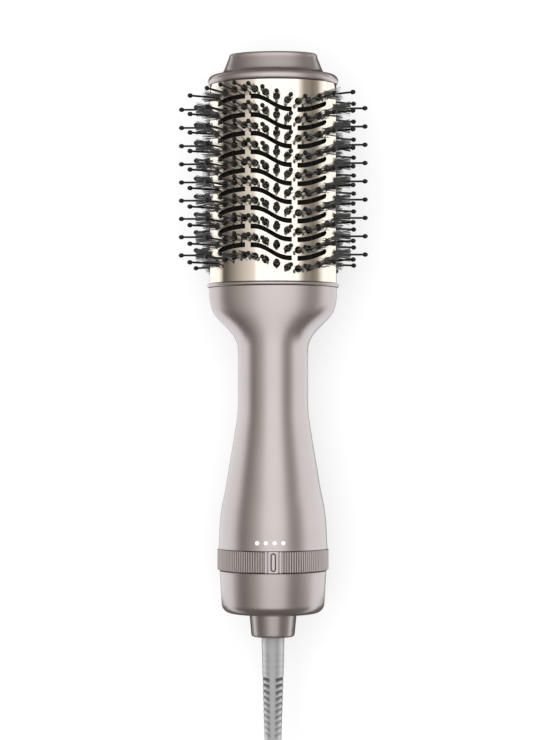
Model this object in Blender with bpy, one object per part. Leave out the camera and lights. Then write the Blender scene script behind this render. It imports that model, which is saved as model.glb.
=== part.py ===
"""Hot air brush with an oval vented barrel, lying on its back.

Metres, +Z up. The tool's long axis runs along Y, with the tip cap at +Y and the cord at -Y.
The row of dots and the dial's mark face up. The surface that the brush lies on is z = 0.
"""

import math

import bmesh
import bpy
from mathutils import Vector
from mathutils.geometry import delaunay_2d_cdt

# Lengths along the tool, from the tip to the end of the strain relief
CAP_DOME_HEIGHT = 0.0101
FLANGE_THICKNESS = 0.0068
BARREL_LENGTH = 0.1183
SEAT_THICKNESS = 0.0025
HANDLE_LENGTH = 0.1535
DIAL_LENGTH = 0.0131
BASE_LENGTH = 0.0244
COLLAR_LENGTH = 0.0139
RELIEF_LENGTH = 0.0620

# Fits
FIT_GAP = 0.0003
OVERRUN = 0.0010
WELD = 0.000001
MERGE_DISTANCE = 0.0000003
SCREW_CLEARANCE = 0.0002

# Barrel sleeve
BARREL_HALF_WIDTH = 0.0375
BARREL_HALF_DEPTH = 0.02244
SLEEVE_WALL = 0.0010
FACETS = 30
ROW_PITCH = 0.0108
ROW_END_LAND = 0.0100
SLOT_WIDTH = 0.0026
SLOT_SHIFT = 0.0014
SLOT_END_WIDTH = 0.0012
WAVE_HEIGHT = 0.00405
WAVES_ROUND = 3
MIDDLE_SLOT_REACH = 0.0112
OUTER_SLOT_START = 0.0148
OUTER_SLOT_END = 0.0358
# Where a slot's outline has points, along its arc
MIDDLE_SLOT_SHARES = (0.0, 0.5, 1.0)
OUTER_SLOT_SHARES = (0.0, 0.4, 0.92, 1.0)
SEAM_LINE = 7
TUFT_HOLE_RADIUS = 0.0024

# Rows of tufts that fit on the barrel, with a row of slots between each two
BRISTLE_ROWS = 1 + math.floor((BARREL_LENGTH - 2 * ROW_END_LAND) / ROW_PITCH)
SLOT_ROWS = BRISTLE_ROWS - 1

# Bristles
FACE_COLUMNS = 12
END_COLUMN_SHIFT = 0.0039
PIN_RADIUS = 0.00065
PIN_HEIGHT = 0.0185
BALL_RADIUS = 0.00135
BALL_HEIGHT = 0.0028
SHOULDER_LEAN = math.radians(62.0)
STRAND_RADIUS = 0.00035
STRAND_HEIGHT = 0.0090
STRAND_OFFSET = 0.0012
STRAND_FAN = 0.0011
REST_FLAT = 0.0005
STRIP_THICKNESS = 0.0016
STRIP_CLEARANCE = 0.0006
STRIP_EDGE_SHARE = 0.19

# Bristle frame
FRAME_WALL = 0.0012
AIR_SLIT_WIDTH = 0.0016
AIR_SLIT_END_LAND = 0.0100
AIR_SLIT_OVERRUN = 0.0040
AIR_SLIT_CORNERS = (0, 4, 11, 15, 19, 26)

# Tip cap, whose flange reaches past the barrel, and tip plate
FLANGE_SIDE_REACH = 0.0012
FLANGE_FACE_REACH = 0.00116
FLANGE_HALF_WIDTH = BARREL_HALF_WIDTH + FLANGE_SIDE_REACH
FLANGE_HALF_DEPTH = BARREL_HALF_DEPTH + FLANGE_FACE_REACH
CAP_FOOT_INSET = 0.0092
CAP_SIDE_INSET = 0.0124
CAP_TOP_INSET = 0.0139
CAP_WALL = 0.0020
CAP_EDGE_RADIUS = 0.0014
FLANGE_TOP_ROUND = 0.0041
FLANGE_TOP_STEPS = 3
FLANGE_FOOT_ROUND = 0.0022
TIP_PLATE_THICKNESS = 0.0030

# Barrel seat, whose bead reaches past the barrel too
SEAT_SIDE_REACH = 0.0015
SEAT_FACE_REACH = 0.00116
SEAT_HALF_WIDTH = BARREL_HALF_WIDTH + SEAT_SIDE_REACH
SEAT_HALF_DEPTH = BARREL_HALF_DEPTH + SEAT_FACE_REACH
SEAT_EDGE_ROUND = 0.0006

# Handle shells, split front and back, with a shoulder just inside the seat's bead
SHELL_WALL = 0.0020
SHOULDER_SIDE_INSET = 0.0012
SHOULDER_FACE_INSET = 0.0007
SHOULDER_HALF_WIDTH = SEAT_HALF_WIDTH - SHOULDER_SIDE_INSET
SHOULDER_HALF_DEPTH = SEAT_HALF_DEPTH - SHOULDER_FACE_INSET
SHOULDER_LENGTH = 0.0350
NECK_LENGTH = 0.0354
NECK_RADIUS = 0.0207
GRIP_END_RADIUS = 0.0321
# Each pair is how far down its stretch a station lies, and how much of its rise is left there
SHOULDER_SHARES = (
    (0.0, 1.0),
    (0.24, 0.98),
    (0.39, 0.88),
    (0.50, 0.76),
    (0.70, 0.345),
    (0.82, 0.145),
    (1.0, 0.0),
)
GRIP_SHARES = (
    (0.0, 0.0),
    (0.085, 0.05),
    (0.427, 0.46),
    (0.72, 0.82),
    (0.854, 0.95),
    (1.0, 1.0),
)

# Air duct, heater and its cutout
DUCT_WALL = 0.0012
MICA_THICKNESS = 0.0008
HEATER_CLEARANCE = 0.0027
MICA_LENGTH = 0.0600
MICA_FOOT = 0.0040
WIRE_RADIUS = 0.0006
WIRE_TURNS = 4
WIRE_END_LAND = 0.0024
WIRE_POINTS_A_TURN = 8
CUTOUT_RADIUS = 0.0030
CUTOUT_LENGTH = 0.0100

# Motor, fan and their mount
MOTOR_RADIUS = 0.0120
MOTOR_LENGTH = 0.0280
MOTOR_NOSE_RADIUS = 0.0040
MOTOR_NOSE_LENGTH = 0.0020
SHAFT_RADIUS = 0.0010
SHAFT_BORE_RADIUS = 0.0016
SHAFT_LENGTH = 0.0140
SHAFT_GRIP = 0.0060
HUB_WALL = 0.0014
HUB_LENGTH = 0.0140
SHROUD_WALL = 0.0012
SHROUD_LENGTH = 0.0340
SHROUD_BOARD_GAP = 0.0125
SPOKES = 3
SPOKE_THICKNESS = 0.0016
FAN_HUB_RADIUS = 0.0065
FAN_HUB_LENGTH = 0.0080
FAN_BLADES = 7
FAN_TIP_CLEARANCE = 0.0008
BLADE_THICKNESS = 0.0012
BLADE_PITCH = math.radians(38.0)

# Dial ring, which stands out past the grip, its track and the switch that it moves
DIAL_STEP_OUT = 0.0010
DIAL_RADIUS = GRIP_END_RADIUS + DIAL_STEP_OUT
DIAL_WALL = 0.0030
DIAL_PAD_WIDTH = 0.0063
DIAL_REST_ANGLE = math.radians(4.6)
DIAL_STEP = math.radians(9.2)
DOTS = 4
DOT_RADIUS = 0.00135
DOT_HEIGHT = 0.0048
TRACK_WALL = 0.0020
TRACK_REACH = 0.0022
TRACK_FOOT_REACH = 0.0081
TRACK_WINDOW_ANGLE = math.radians(30.0)
TRACK_WINDOW_LENGTH = 0.0080
WIPER_WIDTH = 0.0050
WIPER_LENGTH = 0.0060
SWITCH_WIDTH = 0.0080
SWITCH_HEIGHT = 0.0080
SWITCH_LENGTH = 0.0086
SWITCH_CLEARANCE = 0.0004
BOARD_THICKNESS = 0.0012
BOARD_HOLE_RADIUS = 0.0170
GUIDE_THICKNESS = 0.0010
GUIDE_WIDTH = 0.0160
GUIDE_LENGTH = 0.0040

# Base cap and intake filter
BASE_STEP_IN = 0.0004
BASE_TAPER = 0.0015
BASE_TOP_RADIUS = GRIP_END_RADIUS - BASE_STEP_IN
BASE_FOOT_RADIUS = BASE_TOP_RADIUS - BASE_TAPER
BASE_CORNER_RADIUS = 0.0041
BASE_WALL = 0.0020
INTAKE_SLOTS = 7
INTAKE_SLOT_WIDTH = 0.0028
INTAKE_INNER_LAND = 0.0026
INTAKE_OUTER_LAND = 0.0047
FILTER_THICKNESS = 0.0015

# Strain relief, the swivel bush round it and the cord collar round that
RELIEF_TOP_RADIUS = 0.0065
RELIEF_TAPER = 0.0015
RELIEF_END_RADIUS = RELIEF_TOP_RADIUS - RELIEF_TAPER
BUSH_WALL = 0.0024
BUSH_RADIUS = RELIEF_TOP_RADIUS + FIT_GAP + BUSH_WALL
BUSH_LENGTH = 0.0077
COLLAR_SPIGOT_WALL = 0.0015
COLLAR_SPIGOT_RADIUS = BUSH_RADIUS + FIT_GAP + COLLAR_SPIGOT_WALL
COLLAR_SPIGOT_LENGTH = 0.0060
COLLAR_LEDGE = 0.0029
COLLAR_TAPER = 0.0011
COLLAR_TOP_RADIUS = COLLAR_SPIGOT_RADIUS + COLLAR_LEDGE
COLLAR_FOOT_RADIUS = COLLAR_TOP_RADIUS - COLLAR_TAPER
COLLAR_EDGE = 0.0015
COLLAR_FLOOR = 0.0023
RELIEF_RIBS = 4
RELIEF_RIB_DEPTH = 0.0005
RELIEF_RIB_START_SHARE = 0.42
CLIP_WIDTH = 0.0020
CLIP_THICKNESS = 0.0012

# Screws in the barrel seat
SCREW_RADIUS = 0.0015
SCREW_HEAD_RADIUS = 0.0027
SCREW_HEAD_HEIGHT = 0.0014
SCREW_LENGTH = 0.0080
SCREW_EDGE_LAND = 0.0130

# Cord, wound up behind the tool, and its plug
CORD_DIAMETER = 0.0070
FLOOR_CLEARANCE = 0.0001
COIL_CENTRE = (0.0, -0.350)
COIL_RADIUS = 0.0520
COIL_TURNS = 6
COIL_PITCH = 0.0077
COIL_POINTS_A_TURN = 24
COIL_FLAT_SHARE = 0.1
COIL_SINK_TURNS = 0.25
COIL_CLIMB_TURNS = 0.5
TUBE_STEP = 0.0160
LEAD_ROUTE = (
    (0.0003, -0.2220, 0.0396),
    (0.0018, -0.2360, 0.0372),
    (0.0060, -0.2510, 0.0322),
    (0.0145, -0.2690, 0.0240),
    (0.0255, -0.2870, 0.0150),
    (0.0370, -0.3050, 0.0078),
    (0.0475, -0.3220, 0.0042),
)
TAIL_ROUTE = (
    (0.0505, -0.3725, 0.0111),
    (0.0461, -0.3867, 0.0107),
    (0.0391, -0.3988, 0.0102),
    (0.0300, -0.4081, 0.0096),
    (0.0194, -0.4140, 0.0092),
)
TAIL_END = (0.0080, -0.4160)
PLUG_HALF_WIDTH = 0.0120
PLUG_HALF_THICKNESS = 0.0090
PLUG_NECK_RADIUS = 0.0050
PLUG_LENGTH = 0.0340
# How far along the plug a station lies, and how far it has swollen from the neck to full size
PLUG_SHARES = ((0.0, 0.0), (0.3, 0.0), (0.5, 0.66), (0.7, 1.0), (1.0, 1.0))
BLADE_SPACING = 0.0127
BLADE_WIDTH = 0.0063
BLADE_LENGTH = 0.0170
PRONG_THICKNESS = 0.0015

# A smooth shade breaks where two faces meet at more than this
SHARP_ANGLE = math.radians(35.0)

# Counts of sides on round pieces
FINE_SIDES = 20
DIAL_SIDES = 30
SHELL_SIDES = 7
COARSE_SIDES = 14
SMALL_SIDES = 8

# Where each piece ends along Y, worked down from the tip
TOTAL_LENGTH = (
    CAP_DOME_HEIGHT
    + FLANGE_THICKNESS
    + BARREL_LENGTH
    + SEAT_THICKNESS
    + HANDLE_LENGTH
    + DIAL_LENGTH
    + BASE_LENGTH
    + COLLAR_LENGTH
    + RELIEF_LENGTH
)
Y_TIP = TOTAL_LENGTH / 2
Y_FLANGE_TOP = Y_TIP - CAP_DOME_HEIGHT
Y_BARREL_TOP = Y_FLANGE_TOP - FLANGE_THICKNESS
Y_SEAT_TOP = Y_BARREL_TOP - BARREL_LENGTH
Y_HANDLE_TOP = Y_SEAT_TOP - SEAT_THICKNESS
Y_DIAL_TOP = Y_HANDLE_TOP - HANDLE_LENGTH
Y_BASE_TOP = Y_DIAL_TOP - DIAL_LENGTH
Y_COLLAR_TOP = Y_BASE_TOP - BASE_LENGTH
Y_RELIEF_TOP = Y_COLLAR_TOP - COLLAR_LENGTH
Y_RELIEF_END = Y_RELIEF_TOP - RELIEF_LENGTH
Y_ROWS_MIDDLE = (Y_BARREL_TOP + Y_SEAT_TOP) / 2
Y_DOTS = Y_DIAL_TOP + DOT_HEIGHT


def remove_old_objects():
    for old in list(bpy.data.objects):
        bpy.data.objects.remove(old, do_unlink=True)


def oval_table(half_width, half_depth, steps=2880):
    """Running arc length round an oval, starting at its front and going towards +X."""
    table, length, last = [0.0], 0.0, (0.0, half_depth)
    for step in range(1, steps + 1):
        angle = math.tau * step / steps
        point = (half_width * math.sin(angle), half_depth * math.cos(angle))
        length += math.dist(last, point)
        table.append(length)
        last = point
    return table


ARC_TABLE = oval_table(BARREL_HALF_WIDTH, BARREL_HALF_DEPTH)
PERIMETER = ARC_TABLE[-1]


def barrel_point(arc, inset=0.0):
    """A point of the barrel's oval, inset along its normal, as (x, z). The arc starts at the front."""
    target = arc % PERIMETER
    low, high = 0, len(ARC_TABLE) - 1
    while high - low > 1:
        middle = (low + high) // 2
        if ARC_TABLE[middle] <= target:
            low = middle
        else:
            high = middle
    within = (target - ARC_TABLE[low]) / (ARC_TABLE[high] - ARC_TABLE[low])
    angle = math.tau * (low + within) / (len(ARC_TABLE) - 1)
    point = Vector((BARREL_HALF_WIDTH * math.sin(angle), BARREL_HALF_DEPTH * math.cos(angle)))
    normal = Vector((math.sin(angle) / BARREL_HALF_WIDTH, math.cos(angle) / BARREL_HALF_DEPTH))
    return point - normal.normalized() * inset


def facet(index):
    """The two corners, the middle and the outward direction of one flat of the barrel's oval."""
    first = barrel_point(PERIMETER * index / FACETS)
    second = barrel_point(PERIMETER * (index + 1) / FACETS)
    along = (second - first).normalized()
    outward = Vector((-along.y, along.x))
    return first, second, (first + second) / 2, outward


def wave(arc):
    """How far a row bends along Y at an arc from the middle of its own face."""
    return -WAVE_HEIGHT * math.sin(math.tau * WAVES_ROUND * arc / PERIMETER)


def shape(name, points, faces):
    """A mesh from points and faces, with every face turned outwards."""
    mesh = bpy.data.meshes.new(name)
    mesh.from_pydata([tuple(point) for point in points], [], faces)
    bm = bmesh.new()
    bm.from_mesh(mesh)
    loose = [vert for vert in bm.verts if not vert.link_faces]
    bmesh.ops.delete(bm, geom=loose, context="VERTS")
    bmesh.ops.recalc_face_normals(bm, faces=bm.faces)
    bm.to_mesh(mesh)
    bm.free()
    return mesh


def skin(rings, round_ring=True, hollow=False):
    """Points and faces of a skin over rings. A hollow one runs back inside and joins its first ring."""
    rows, columns = len(rings), len(rings[0])
    points = [point for ring in rings for point in ring]
    faces = []
    for row in range(rows if hollow else rows - 1):
        here, there = row * columns, (row + 1) % rows * columns
        for column in range(columns if round_ring else columns - 1):
            after = (column + 1) % columns
            faces.append((here + column, here + after, there + after, there + column))
    if not hollow:
        faces.append(tuple(range(columns)))
        faces.append(tuple(range((rows - 1) * columns, rows * columns)))
    if not round_ring:
        faces.append(tuple(row * columns for row in range(rows)))
        faces.append(tuple(row * columns + columns - 1 for row in range(rows)))
    return points, faces


def joined(shapes):
    """Several shapes' points and faces as one list of each."""
    points, faces = [], []
    for more_points, more_faces in shapes:
        start = len(points)
        points.extend(more_points)
        faces.extend(tuple(start + index for index in face) for face in more_faces)
    return points, faces


def oval_ring(half_width, half_depth, y, sides, half=False):
    """A ring of points round Y. A half ring goes over the front, from side to side."""
    if half:
        angles = [math.pi * (step / sides - 0.5) for step in range(sides + 1)]
    else:
        angles = [math.tau * (step + 0.5) / sides for step in range(sides)]
    return [(half_width * math.sin(a), y, half_depth * math.cos(a)) for a in angles]


def turned(profile, sides, hollow=False):
    """A turned shape round Y from a profile of (radius, y)."""
    return skin([oval_ring(radius, radius, y, sides) for radius, y in profile], hollow=hollow)


def tube(outer, inner, y_low, y_high, sides):
    """A plain round tube."""
    return turned([(outer, y_low), (outer, y_high), (inner, y_high), (inner, y_low)], sides, hollow=True)


def block(x_range, y_range, z_range):
    """A box between two limits each way."""
    rings = [
        [(x, y, z) for x, z in ((x_range[0], z_range[0]), (x_range[1], z_range[0]),
                                (x_range[1], z_range[1]), (x_range[0], z_range[1]))]
        for y in y_range
    ]
    return skin(rings)


def tool_axis():
    """The empty that stands on the tool's long axis and carries every piece of it."""
    empty = bpy.data.objects.new("tool_axis", None)
    empty.location = (0, 0, AXIS_HEIGHT)
    bpy.context.scene.collection.objects.link(empty)
    return empty


def finish(piece, colour, roughness, metallic):
    material = bpy.data.materials.new(piece.name + "_finish")
    material.use_nodes = True
    shader = material.node_tree.nodes["Principled BSDF"]
    shader.inputs["Base Color"].default_value = (*colour, 1)
    shader.inputs["Roughness"].default_value = roughness
    shader.inputs["Metallic"].default_value = metallic
    piece.data.materials.append(material)


def add_piece(name, solid, look, on=None, smooth=True):
    """One sub-part as an object of its own, from its points and faces, or from a ready mesh."""
    mesh = solid if isinstance(solid, bpy.types.Mesh) else shape(name, *solid)
    piece = bpy.data.objects.new(name, mesh)
    bpy.context.scene.collection.objects.link(piece)
    piece.parent = on
    if smooth:
        mesh.shade_smooth()
        mesh.set_sharp_from_angle(angle=SHARP_ANGLE)
    finish(piece, *look)
    return piece


def combine(piece, solid, operation, on):
    """Cuts a shape out of a piece, or unites it with the piece, by a Boolean that stays live."""
    tool = bpy.data.objects.new(f"{piece.name}_{operation.lower()}", shape(piece.name + "_tool", *solid))
    tool.hide_render = True
    tool.display_type = "WIRE"
    tool.parent = on
    bpy.context.scene.collection.objects.link(tool)
    modifier = piece.modifiers.new(operation.title(), "BOOLEAN")
    modifier.operation = operation
    modifier.solver = "EXACT"
    modifier.object = tool


# Looks, as (colour, roughness, metallic)
ROSE_TAUPE = ((0.42, 0.34, 0.31), 0.38, 0.75)
CHAMPAGNE = ((0.86, 0.78, 0.66), 0.12, 1.0)
BLACK_NYLON = ((0.012, 0.012, 0.013), 0.45, 0.0)
BLACK_PLASTIC = ((0.02, 0.02, 0.02), 0.5, 0.0)
STEEL = ((0.55, 0.55, 0.56), 0.3, 1.0)
BRASS = ((0.70, 0.55, 0.28), 0.3, 1.0)
MICA = ((0.50, 0.42, 0.30), 0.6, 0.0)
NICHROME = ((0.35, 0.34, 0.33), 0.4, 1.0)
WHITE_PLASTIC = ((0.9, 0.9, 0.9), 0.3, 0.0)
BOARD_GREEN = ((0.02, 0.18, 0.07), 0.5, 0.0)
GREY_MESH = ((0.10, 0.10, 0.11), 0.7, 0.0)
GREY_RUBBER = ((0.45, 0.45, 0.46), 0.55, 0.0)


def pin_direction(index):
    """The way a column's pins point, as (x, z). The outermost columns of a face lean further out."""
    _, _, _, outward = facet(index)
    if face_place(index) in (0, FACE_COLUMNS - 1):
        lean = math.copysign(math.sin(SHOULDER_LEAN), outward.x)
        return Vector((lean, math.copysign(math.cos(SHOULDER_LEAN), outward.y)))
    return outward


def face_place(index):
    """Which column of its face a flat holds, counted towards +X, or None on an end flat."""
    for centre in (0, FACETS // 2):
        place = (index - centre + FACE_COLUMNS // 2) % FACETS
        if place < FACE_COLUMNS:
            return place
    return None


def column_shift(index):
    """How far a column's rows sit along Y from the straight rows."""
    if face_place(index) is None:
        return -END_COLUMN_SHIFT
    middle_arc = PERIMETER * (index + 0.5) / FACETS
    folded = (middle_arc + PERIMETER / 4) % PERIMETER - PERIMETER / 4
    if folded > PERIMETER / 4:
        folded = PERIMETER / 2 - folded
    return wave(folded)


def row_places(index):
    """The Y of each tuft in a column."""
    middle = (BRISTLE_ROWS - 1) / 2
    return [
        Y_ROWS_MIDDLE + column_shift(index) + ROW_PITCH * (row - middle)
        for row in range(BRISTLE_ROWS)
    ]


END_FLATS = (FACETS // 4, FACETS * 3 // 4)
FRONT_FLATS = [place - FACE_COLUMNS // 2 for place in range(FACE_COLUMNS)]
BACK_FLATS = [place + FACETS // 2 for place in FRONT_FLATS]
AXIS_HEIGHT = (
    max(-(facet(i)[2].y + PIN_HEIGHT * pin_direction(i).y) for i in BACK_FLATS) - REST_FLAT
)


def slot_outline(start, end, row, back):
    """One wavy slot as points (arc, y). Slots next to a barrel's side narrow at their far end."""
    shares = MIDDLE_SLOT_SHARES if start == -end else OUTER_SLOT_SHARES
    middle = (SLOT_ROWS - 1) / 2
    near, far = [], []
    for share in shares:
        arc = start + (end - start) * share
        half = SLOT_WIDTH / 2
        if share == 1 and shares is OUTER_SLOT_SHARES:
            half = SLOT_END_WIDTH / 2
        y = Y_ROWS_MIDDLE + SLOT_SHIFT + ROW_PITCH * (row - middle) + wave(arc)
        place = -PERIMETER / 2 - arc if back else arc
        near.append((place, y - half))
        far.append((place, y + half))
    outline = near + far[::-1]
    return outline if near[0][0] < near[-1][0] else outline[::-1]


def tuft_hole_outline(index, y):
    """A tuft's hole as points (arc, y): three-cornered, or a diamond for the wider end tufts."""
    wrapped = index if index < SEAM_LINE else index - FACETS
    middle = PERIMETER * (wrapped + 0.5) / FACETS
    sides = 4 if index in END_FLATS else 3
    outline = []
    for corner in range(sides):
        angle = math.pi / 2 + math.tau * corner / sides
        outline.append((middle + TUFT_HOLE_RADIUS * math.cos(angle), y + TUFT_HOLE_RADIUS * math.sin(angle)))
    return outline


def sleeve_openings():
    openings = [
        tuft_hole_outline(index, y)
        for index in (*FRONT_FLATS, *BACK_FLATS, *END_FLATS)
        for y in row_places(index)
    ]
    for row in range(SLOT_ROWS):
        for back in (False, True):
            openings.append(slot_outline(-MIDDLE_SLOT_REACH, MIDDLE_SLOT_REACH, row, back))
            openings.append(slot_outline(OUTER_SLOT_START, OUTER_SLOT_END, row, back))
            openings.append(slot_outline(-OUTER_SLOT_START, -OUTER_SLOT_END, row, back))
    return openings


def barrel_sleeve(axis):
    """The polished oval tube with its air slots and tuft holes, laid out flat and then bent round."""
    low, high = Y_SEAT_TOP + FIT_GAP, Y_BARREL_TOP - FIT_GAP
    pitch = PERIMETER / FACETS
    lines = [SEAM_LINE - FACETS + k for k in range(FACETS + 1)]
    flat_points = [(pitch * line, y) for line in lines for y in (low, high)]
    edges = [(2 * k + end, 2 * k + 2 + end) for k in range(FACETS) for end in (0, 1)]
    for k, line in enumerate(lines):
        from_face = min(abs(line), abs(line + FACETS / 2))
        if pitch * from_face > OUTER_SLOT_END:
            edges.append((2 * k, 2 * k + 1))
    outlines = []
    for opening in sleeve_openings():
        start = len(flat_points)
        flat_points.extend(opening)
        outlines.append(tuple(range(start, len(flat_points))))
    _, _, triangles, _, _, inside = delaunay_2d_cdt(
        [Vector(point) for point in flat_points], edges, outlines, 0, MERGE_DISTANCE
    )
    count = len(flat_points)

    def corner(index, layer):
        """A flat point's place in the bent wall, where the two seam lines are one."""
        return index % (2 * FACETS) + layer * count if index < 2 * FACETS + 2 else index + layer * count

    points = []
    for inset in (0, SLEEVE_WALL):
        for arc, y in flat_points:
            place = barrel_point(arc, inset)
            points.append((place.x, y, place.y))
    faces = [
        tuple(corner(index, layer) for index in triangle)
        for triangle, opening in zip(triangles, inside)
        for layer in (0, 1)
        if not opening
    ]
    rims = edges[:2 * FACETS]
    rims += [pair for outline in outlines for pair in zip(outline, outline[1:] + outline[:1])]
    for here, there in rims:
        faces.append((corner(here, 0), corner(there, 0), corner(there, 1), corner(here, 1)))
    add_piece("barrel_sleeve", (points, faces), CHAMPAGNE, axis)


def strip_chord(indices):
    """The flat outer face of a strip, as its two edges (x, z), just inside the sleeve's wall."""
    def edge(near, far, outward):
        return near.lerp(far, STRIP_EDGE_SHARE) - outward * (SLEEVE_WALL + STRIP_CLEARANCE)

    first, second, _, outward = facet(indices[0])
    start = edge(first, second, outward)
    first, second, _, outward = facet(indices[-1])
    return start, edge(second, first, outward)


def bristle_strip(name, indices, axis):
    """A flat bar with one or two columns of ball-tipped pins, and the end tufts' nylon strands."""
    start, end = strip_chord(indices)
    along = (end - start).normalized()
    outward = Vector((-along.y, along.x))
    low = Y_SEAT_TOP + FIT_GAP
    high = Y_BARREL_TOP - TIP_PLATE_THICKNESS - 2 * FIT_GAP
    width = (end - start).length
    flat_points = [(0, low), (width, low), (width, high), (0, high)]
    stalks = []

    def plant(index, y, radius, sections, tip):
        """Marks a stalk's three-cornered foot on the bar's face and keeps its rings for later."""
        _, _, middle, _ = facet(index)
        way = pin_direction(index)
        across = Vector((way.y, -way.x))
        foot = []
        rings = [[] for _ in sections]
        for corner in range(3):
            angle = math.pi / 2 + math.tau * corner / 3
            side, rise = math.cos(angle), math.sin(angle)
            line = middle + across * side * radius
            reach = (start - line).dot(outward) / way.dot(outward)
            base = line + way * reach
            foot.append(((base - start).dot(along), y + rise * radius))
            for ring, (height, ring_radius, shift) in zip(rings, sections):
                place = middle + way * height + across * side * ring_radius
                ring.append((place.x, y + shift + rise * ring_radius, place.y))
        top = middle + way * tip[0]
        flat_points.extend(foot)
        stalks.append((rings, (top.x, y + tip[1], top.y)))

    for index in indices:
        neck = PIN_HEIGHT - BALL_HEIGHT
        ball_middle = PIN_HEIGHT - BALL_HEIGHT / 2
        for y in row_places(index):
            ball = [(neck, PIN_RADIUS, 0), (ball_middle, BALL_RADIUS, 0)]
            plant(index, y, PIN_RADIUS, ball, (PIN_HEIGHT, 0))
            for side in (-1, 1) if index in END_FLATS else ():
                lean = side * STRAND_FAN
                plant(index, y + side * STRAND_OFFSET, STRAND_RADIUS, [], (STRAND_HEIGHT, lean))

    feet = [tuple(range(4 + 3 * k, 7 + 3 * k)) for k in range(len(stalks))]
    flat = [Vector(point) for point in flat_points]
    _, _, triangles, _, _, inside = delaunay_2d_cdt(flat, [], feet, 0, MERGE_DISTANCE)
    inner = [place - outward * STRIP_THICKNESS for place in (start, end)]
    points = [(start.x + along.x * u, y, start.y + along.y * u) for u, y in flat_points]
    faces = [tuple(face) for face, foot in zip(triangles, inside) if not foot]
    back = len(points)
    points += [(inner[k].x, y, inner[k].y) for k, y in ((0, low), (1, low), (1, high), (0, high))]
    faces.append(tuple(range(back, back + 4)))
    for k in range(4):
        after = (k + 1) % 4
        faces.append((k, after, back + after, back + k))
    for foot, (rings, top) in zip(feet, stalks):
        last = foot
        for ring in rings:
            now = range(len(points), len(points) + 3)
            points.extend(ring)
            for corner in range(3):
                after = (corner + 1) % 3
                faces.append((last[corner], last[after], now[after], now[corner]))
            last = now
        points.append(top)
        for corner in range(3):
            faces.append((last[corner], last[(corner + 1) % 3], len(points) - 1))
    strip = add_piece(name, (points, faces), BLACK_NYLON, axis, smooth=False)
    cut_flat_at_rest(strip.data, -AXIS_HEIGHT)


def cut_flat_at_rest(mesh, height):
    """Takes off what lies below a height, and closes the cuts with flat faces."""
    bm = bmesh.new()
    bm.from_mesh(mesh)
    bmesh.ops.remove_doubles(bm, verts=bm.verts, dist=WELD)
    bmesh.ops.bisect_plane(
        bm,
        geom=[*bm.verts, *bm.edges, *bm.faces],
        plane_co=(0, 0, height),
        plane_no=(0, 0, -1),
        clear_outer=True,
    )
    bmesh.ops.holes_fill(bm, edges=[edge for edge in bm.edges if edge.is_boundary])
    bmesh.ops.recalc_face_normals(bm, faces=bm.faces)
    bm.to_mesh(mesh)
    bm.free()


def strip_groups():
    """The strips' names and the flats whose columns each carries, in order round the oval."""
    groups = []
    for side, flats in (("front", FRONT_FLATS), ("back", BACK_FLATS)):
        for number in range(FACE_COLUMNS // 2):
            groups.append((f"bristle_strip_{side}_{number + 1}", flats[2 * number:2 * number + 2]))
    groups.insert(FACE_COLUMNS // 2, ("bristle_strip_right", [END_FLATS[0]]))
    groups.append(("bristle_strip_left", [END_FLATS[1]]))
    return groups


def bristle_strips(axis):
    for name, indices in strip_groups():
        bristle_strip(name, indices, axis)


def bristle_frame(axis):
    """The inner oval tube that the strips lie on, with long air slits between them."""
    outline = []
    for _, indices in strip_groups():
        start, end = strip_chord(indices)
        outward = Vector((start.y - end.y, end.x - start.x)).normalized()
        seat = STRIP_THICKNESS + FIT_GAP
        outline += [start - outward * seat, end - outward * seat]

    def ring(scale_in, y):
        return [(p.x - p.normalized().x * scale_in, y, p.y - p.normalized().y * scale_in) for p in outline]

    low = Y_SEAT_TOP + FIT_GAP
    high = Y_BARREL_TOP - TIP_PLATE_THICKNESS - 2 * FIT_GAP
    wall = skin([ring(0, low), ring(0, high), ring(FRAME_WALL, high), ring(FRAME_WALL, low)], hollow=True)
    frame = add_piece("bristle_frame", wall, BLACK_PLASTIC, axis)
    slits = []
    for corner in AIR_SLIT_CORNERS:
        middle = barrel_point(PERIMETER * corner / FACETS)
        outward = middle.normalized()
        across = Vector((outward.y, -outward.x)) * AIR_SLIT_WIDTH / 2
        depth = SLEEVE_WALL + STRIP_THICKNESS + FRAME_WALL + AIR_SLIT_OVERRUN
        outer, deep = middle, middle - outward * depth
        rings = [
            [(p.x, y, p.y) for p in (outer - across, outer + across, deep + across, deep - across)]
            for y in (low + AIR_SLIT_END_LAND, high - AIR_SLIT_END_LAND)
        ]
        slits.append(skin(rings))
    combine(frame, joined(slits), "DIFFERENCE", axis)


def tip_cap(axis):
    """The oval cap: a flange over the barrel's end and a raised dome with a flat top, hollow below."""
    def at(inset, y):
        return FLANGE_HALF_WIDTH - inset, FLANGE_HALF_DEPTH - inset, y

    bottom = Y_BARREL_TOP
    top = Y_TIP
    outer = [at(FLANGE_FOOT_ROUND / 2, bottom), at(0, bottom + FLANGE_FOOT_ROUND)]
    for step in range(1, FLANGE_TOP_STEPS + 1):
        angle = math.pi / 2 * step / FLANGE_TOP_STEPS
        inset = FLANGE_TOP_ROUND * (1 - math.cos(angle))
        outer.append(at(inset, Y_FLANGE_TOP - FLANGE_TOP_ROUND * (1 - math.sin(angle))))
    outer += [
        at(CAP_FOOT_INSET, Y_FLANGE_TOP),
        at(CAP_SIDE_INSET, top - CAP_EDGE_RADIUS),
        at(CAP_TOP_INSET, top),
    ]
    inner = [
        at(CAP_FOOT_INSET + CAP_WALL, bottom),
        at(CAP_SIDE_INSET + CAP_WALL, top - CAP_EDGE_RADIUS - CAP_WALL),
    ]
    rings = [oval_ring(*ring, FINE_SIDES) for ring in (*reversed(inner), *outer)]
    add_piece("tip_cap", skin(rings), ROSE_TAUPE, axis)


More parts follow.
